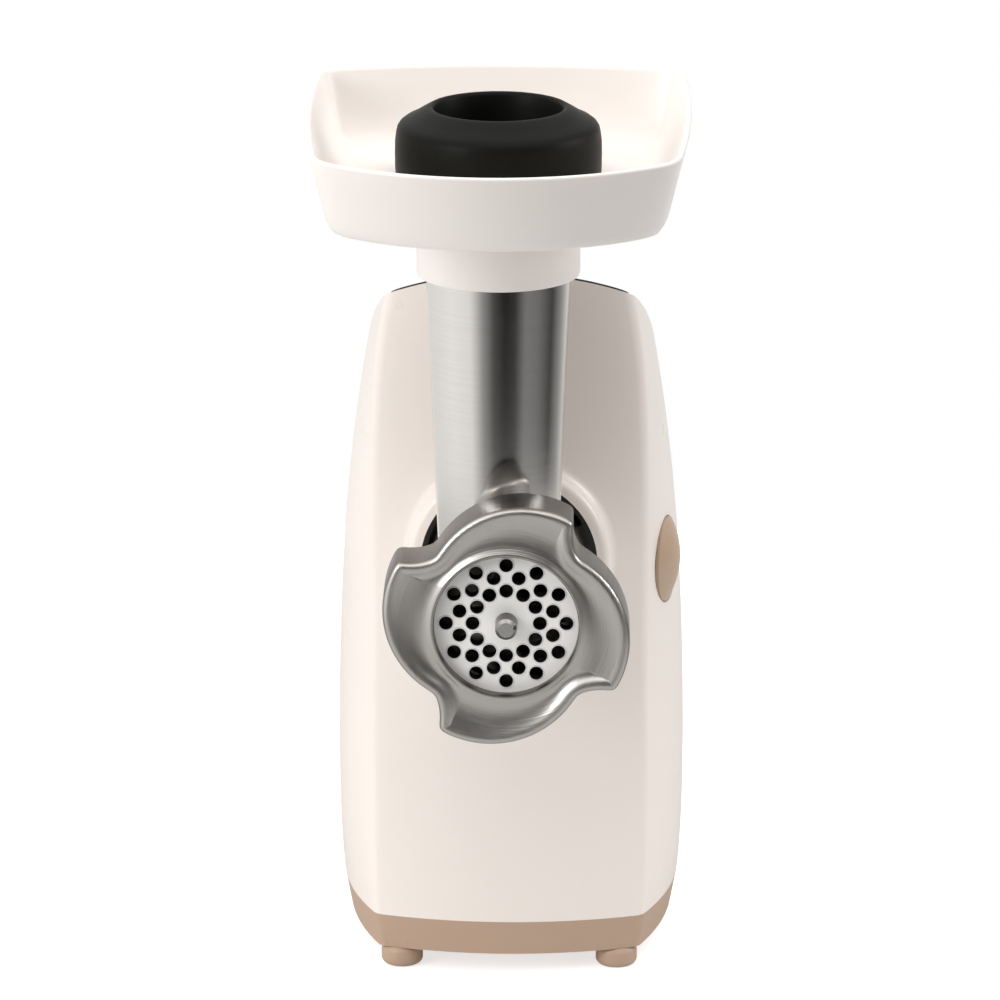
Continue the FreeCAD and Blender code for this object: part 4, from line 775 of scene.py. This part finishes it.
tray_loops = [
    tray_loop(on_circle(tray_outline, tray_hole), tray_seat),
    tray_loop(on_circle(tray_outline, tray_hole), tray_floor - 0.0005),
    tray_loop(on_circle(tray_outline, tray_hole + 0.0005), tray_floor)]
wall_foot = drawn_in(tray_outline, 0.0088)
for share, rise in ((0.16, 0.0), (0.09, 0.0004), (0.04, 0.0016), (0.0, 0.0038)):
    floor_edge = [p.lerp(p.normalized() * tray_hole, share) for p in wall_foot]
    tray_loops.append(tray_loop(floor_edge, tray_floor + rise))
for drop in (0.016, 0.008, 0.0013):
    inset = tray_wall + wall_inset(tray_high.z - drop)
    tray_loops.append(tray_loop(drawn_in(tray_outline, inset), tray_high.z - drop))
for inset, drop in ((0.0021, 0.0004), (0.0015, 0.0), (0.0008, 0.0), (0.0002, 0.0004), (0.0001, 0.0012)):
    tray_loops.append(tray_loop(drawn_in(tray_outline, inset), tray_high.z - drop))
for drop in (0.010, 0.019, 0.0245):
    tray_loops.append(tray_loop(drawn_in(tray_outline, wall_inset(tray_high.z - drop)), tray_high.z - drop))
for inset, rise in ((0.0068, 0.0027), (0.0080, 0.0010), (0.0098, 0.0002), (0.0122, 0.0)):
    tray_loops.append(tray_loop(drawn_in(tray_outline, inset), tray_bottom + rise))
for spread, drop in ((0.0030, 0.0), (0.0012, 0.0004), (0.0003, 0.0014), (0.0, 0.0030)):
    tray_loops.append(tray_loop(on_circle(tray_outline, collar_radius + spread), tray_bottom - drop))
for spread, rise in ((0.0, 0.0008), (-0.0003, 0.0002), (-0.0008, 0.0)):
    tray_loops.append(tray_loop(on_circle(tray_outline, collar_radius + spread), tray_low.z + rise))
tray_loops.append(tray_loop(on_circle(tray_outline, collar_bore), tray_low.z))
tray_loops.append(tray_loop(on_circle(tray_outline, collar_bore), tray_seat))

tray_plastic = moulded(
    "white_tray_plastic", (0.925, 0.872, 0.832), (0.945, 0.895, 0.855), 0.36, 0.0011, 0.00002)
food_tray = skin("food_tray_moulding", tray_loops, tray_plastic, 50.0)
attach(food_tray, "tray")
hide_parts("food_tray")


# Pusher: a hollow black stomper, moulded in one piece, with a broad rounded head and a cup in the tube.
pusher_low, pusher_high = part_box("pusher")
head_radius = (pusher_high.x - pusher_low.x) / 2
head_shoulder = pusher_high.z - 0.0055
head_foot = tray_floor
mouth_radius = 0.0238
neck_radius = 0.0236
foot_radius = 0.0206
pusher_wall = 0.0026
circle_points = [Vector(polar(1.0, k * 360 / 160)) for k in range(160)]


def pusher_loop(radius, z):
    return tray_loop([p * radius for p in circle_points], z)


pusher_loops = []
for radius, z in (
        (0.0004, pusher_low.z), (foot_radius - 0.001, pusher_low.z),
        (foot_radius - 0.0003, pusher_low.z + 0.0003), (foot_radius, pusher_low.z + 0.001),
        (neck_radius, head_foot), (head_radius - 0.0018, head_foot),
        (head_radius - 0.0008, head_foot + 0.0004), (head_radius - 0.0005, head_foot + 0.0014)):
    pusher_loops.append(pusher_loop(radius, z))
for share in (0.3, 0.5, 0.7):
    z = head_foot + (head_shoulder - head_foot) * share
    pusher_loops.append(pusher_loop(head_radius - 0.0005 * (2 * share - 1) ** 2, z))
for inset, rise in (
        (0.0005, -0.0040), (0.0009, -0.0022), (0.0018, -0.0008), (0.0034, 0.0004), (0.0060, 0.0016),
        (0.0088, 0.0034)):
    pusher_loops.append(pusher_loop(head_radius - inset, head_shoulder + rise))
for spread, drop in (
        (0.0031, 0.0007), (0.0020, 0.0001), (0.0012, 0.0), (0.0004, 0.0004), (0.0, 0.0014),
        (-0.0004, 0.0060)):
    pusher_loops.append(pusher_loop(mouth_radius + spread, pusher_high.z - drop))
for radius, z in (
        (neck_radius - pusher_wall, head_foot),
        (foot_radius - pusher_wall, pusher_low.z + pusher_wall + 0.001),
        (foot_radius - pusher_wall - 0.001, pusher_low.z + pusher_wall),
        (0.0004, pusher_low.z + pusher_wall)):
    pusher_loops.append(pusher_loop(radius, z))
pusher_plastic = moulded(
    "black_pusher_plastic", (0.003, 0.0035, 0.0025), (0.006, 0.0062, 0.005), 0.46, 0.0009, 0.00003)
pusher_shader = pusher_plastic.node_tree.nodes["Principled BSDF"]
pusher_shader.inputs["Specular IOR Level"].default_value = 0.10
pusher = skin("pusher_moulding", pusher_loops, pusher_plastic, 50.0)
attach(pusher, "pusher")
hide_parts("pusher")
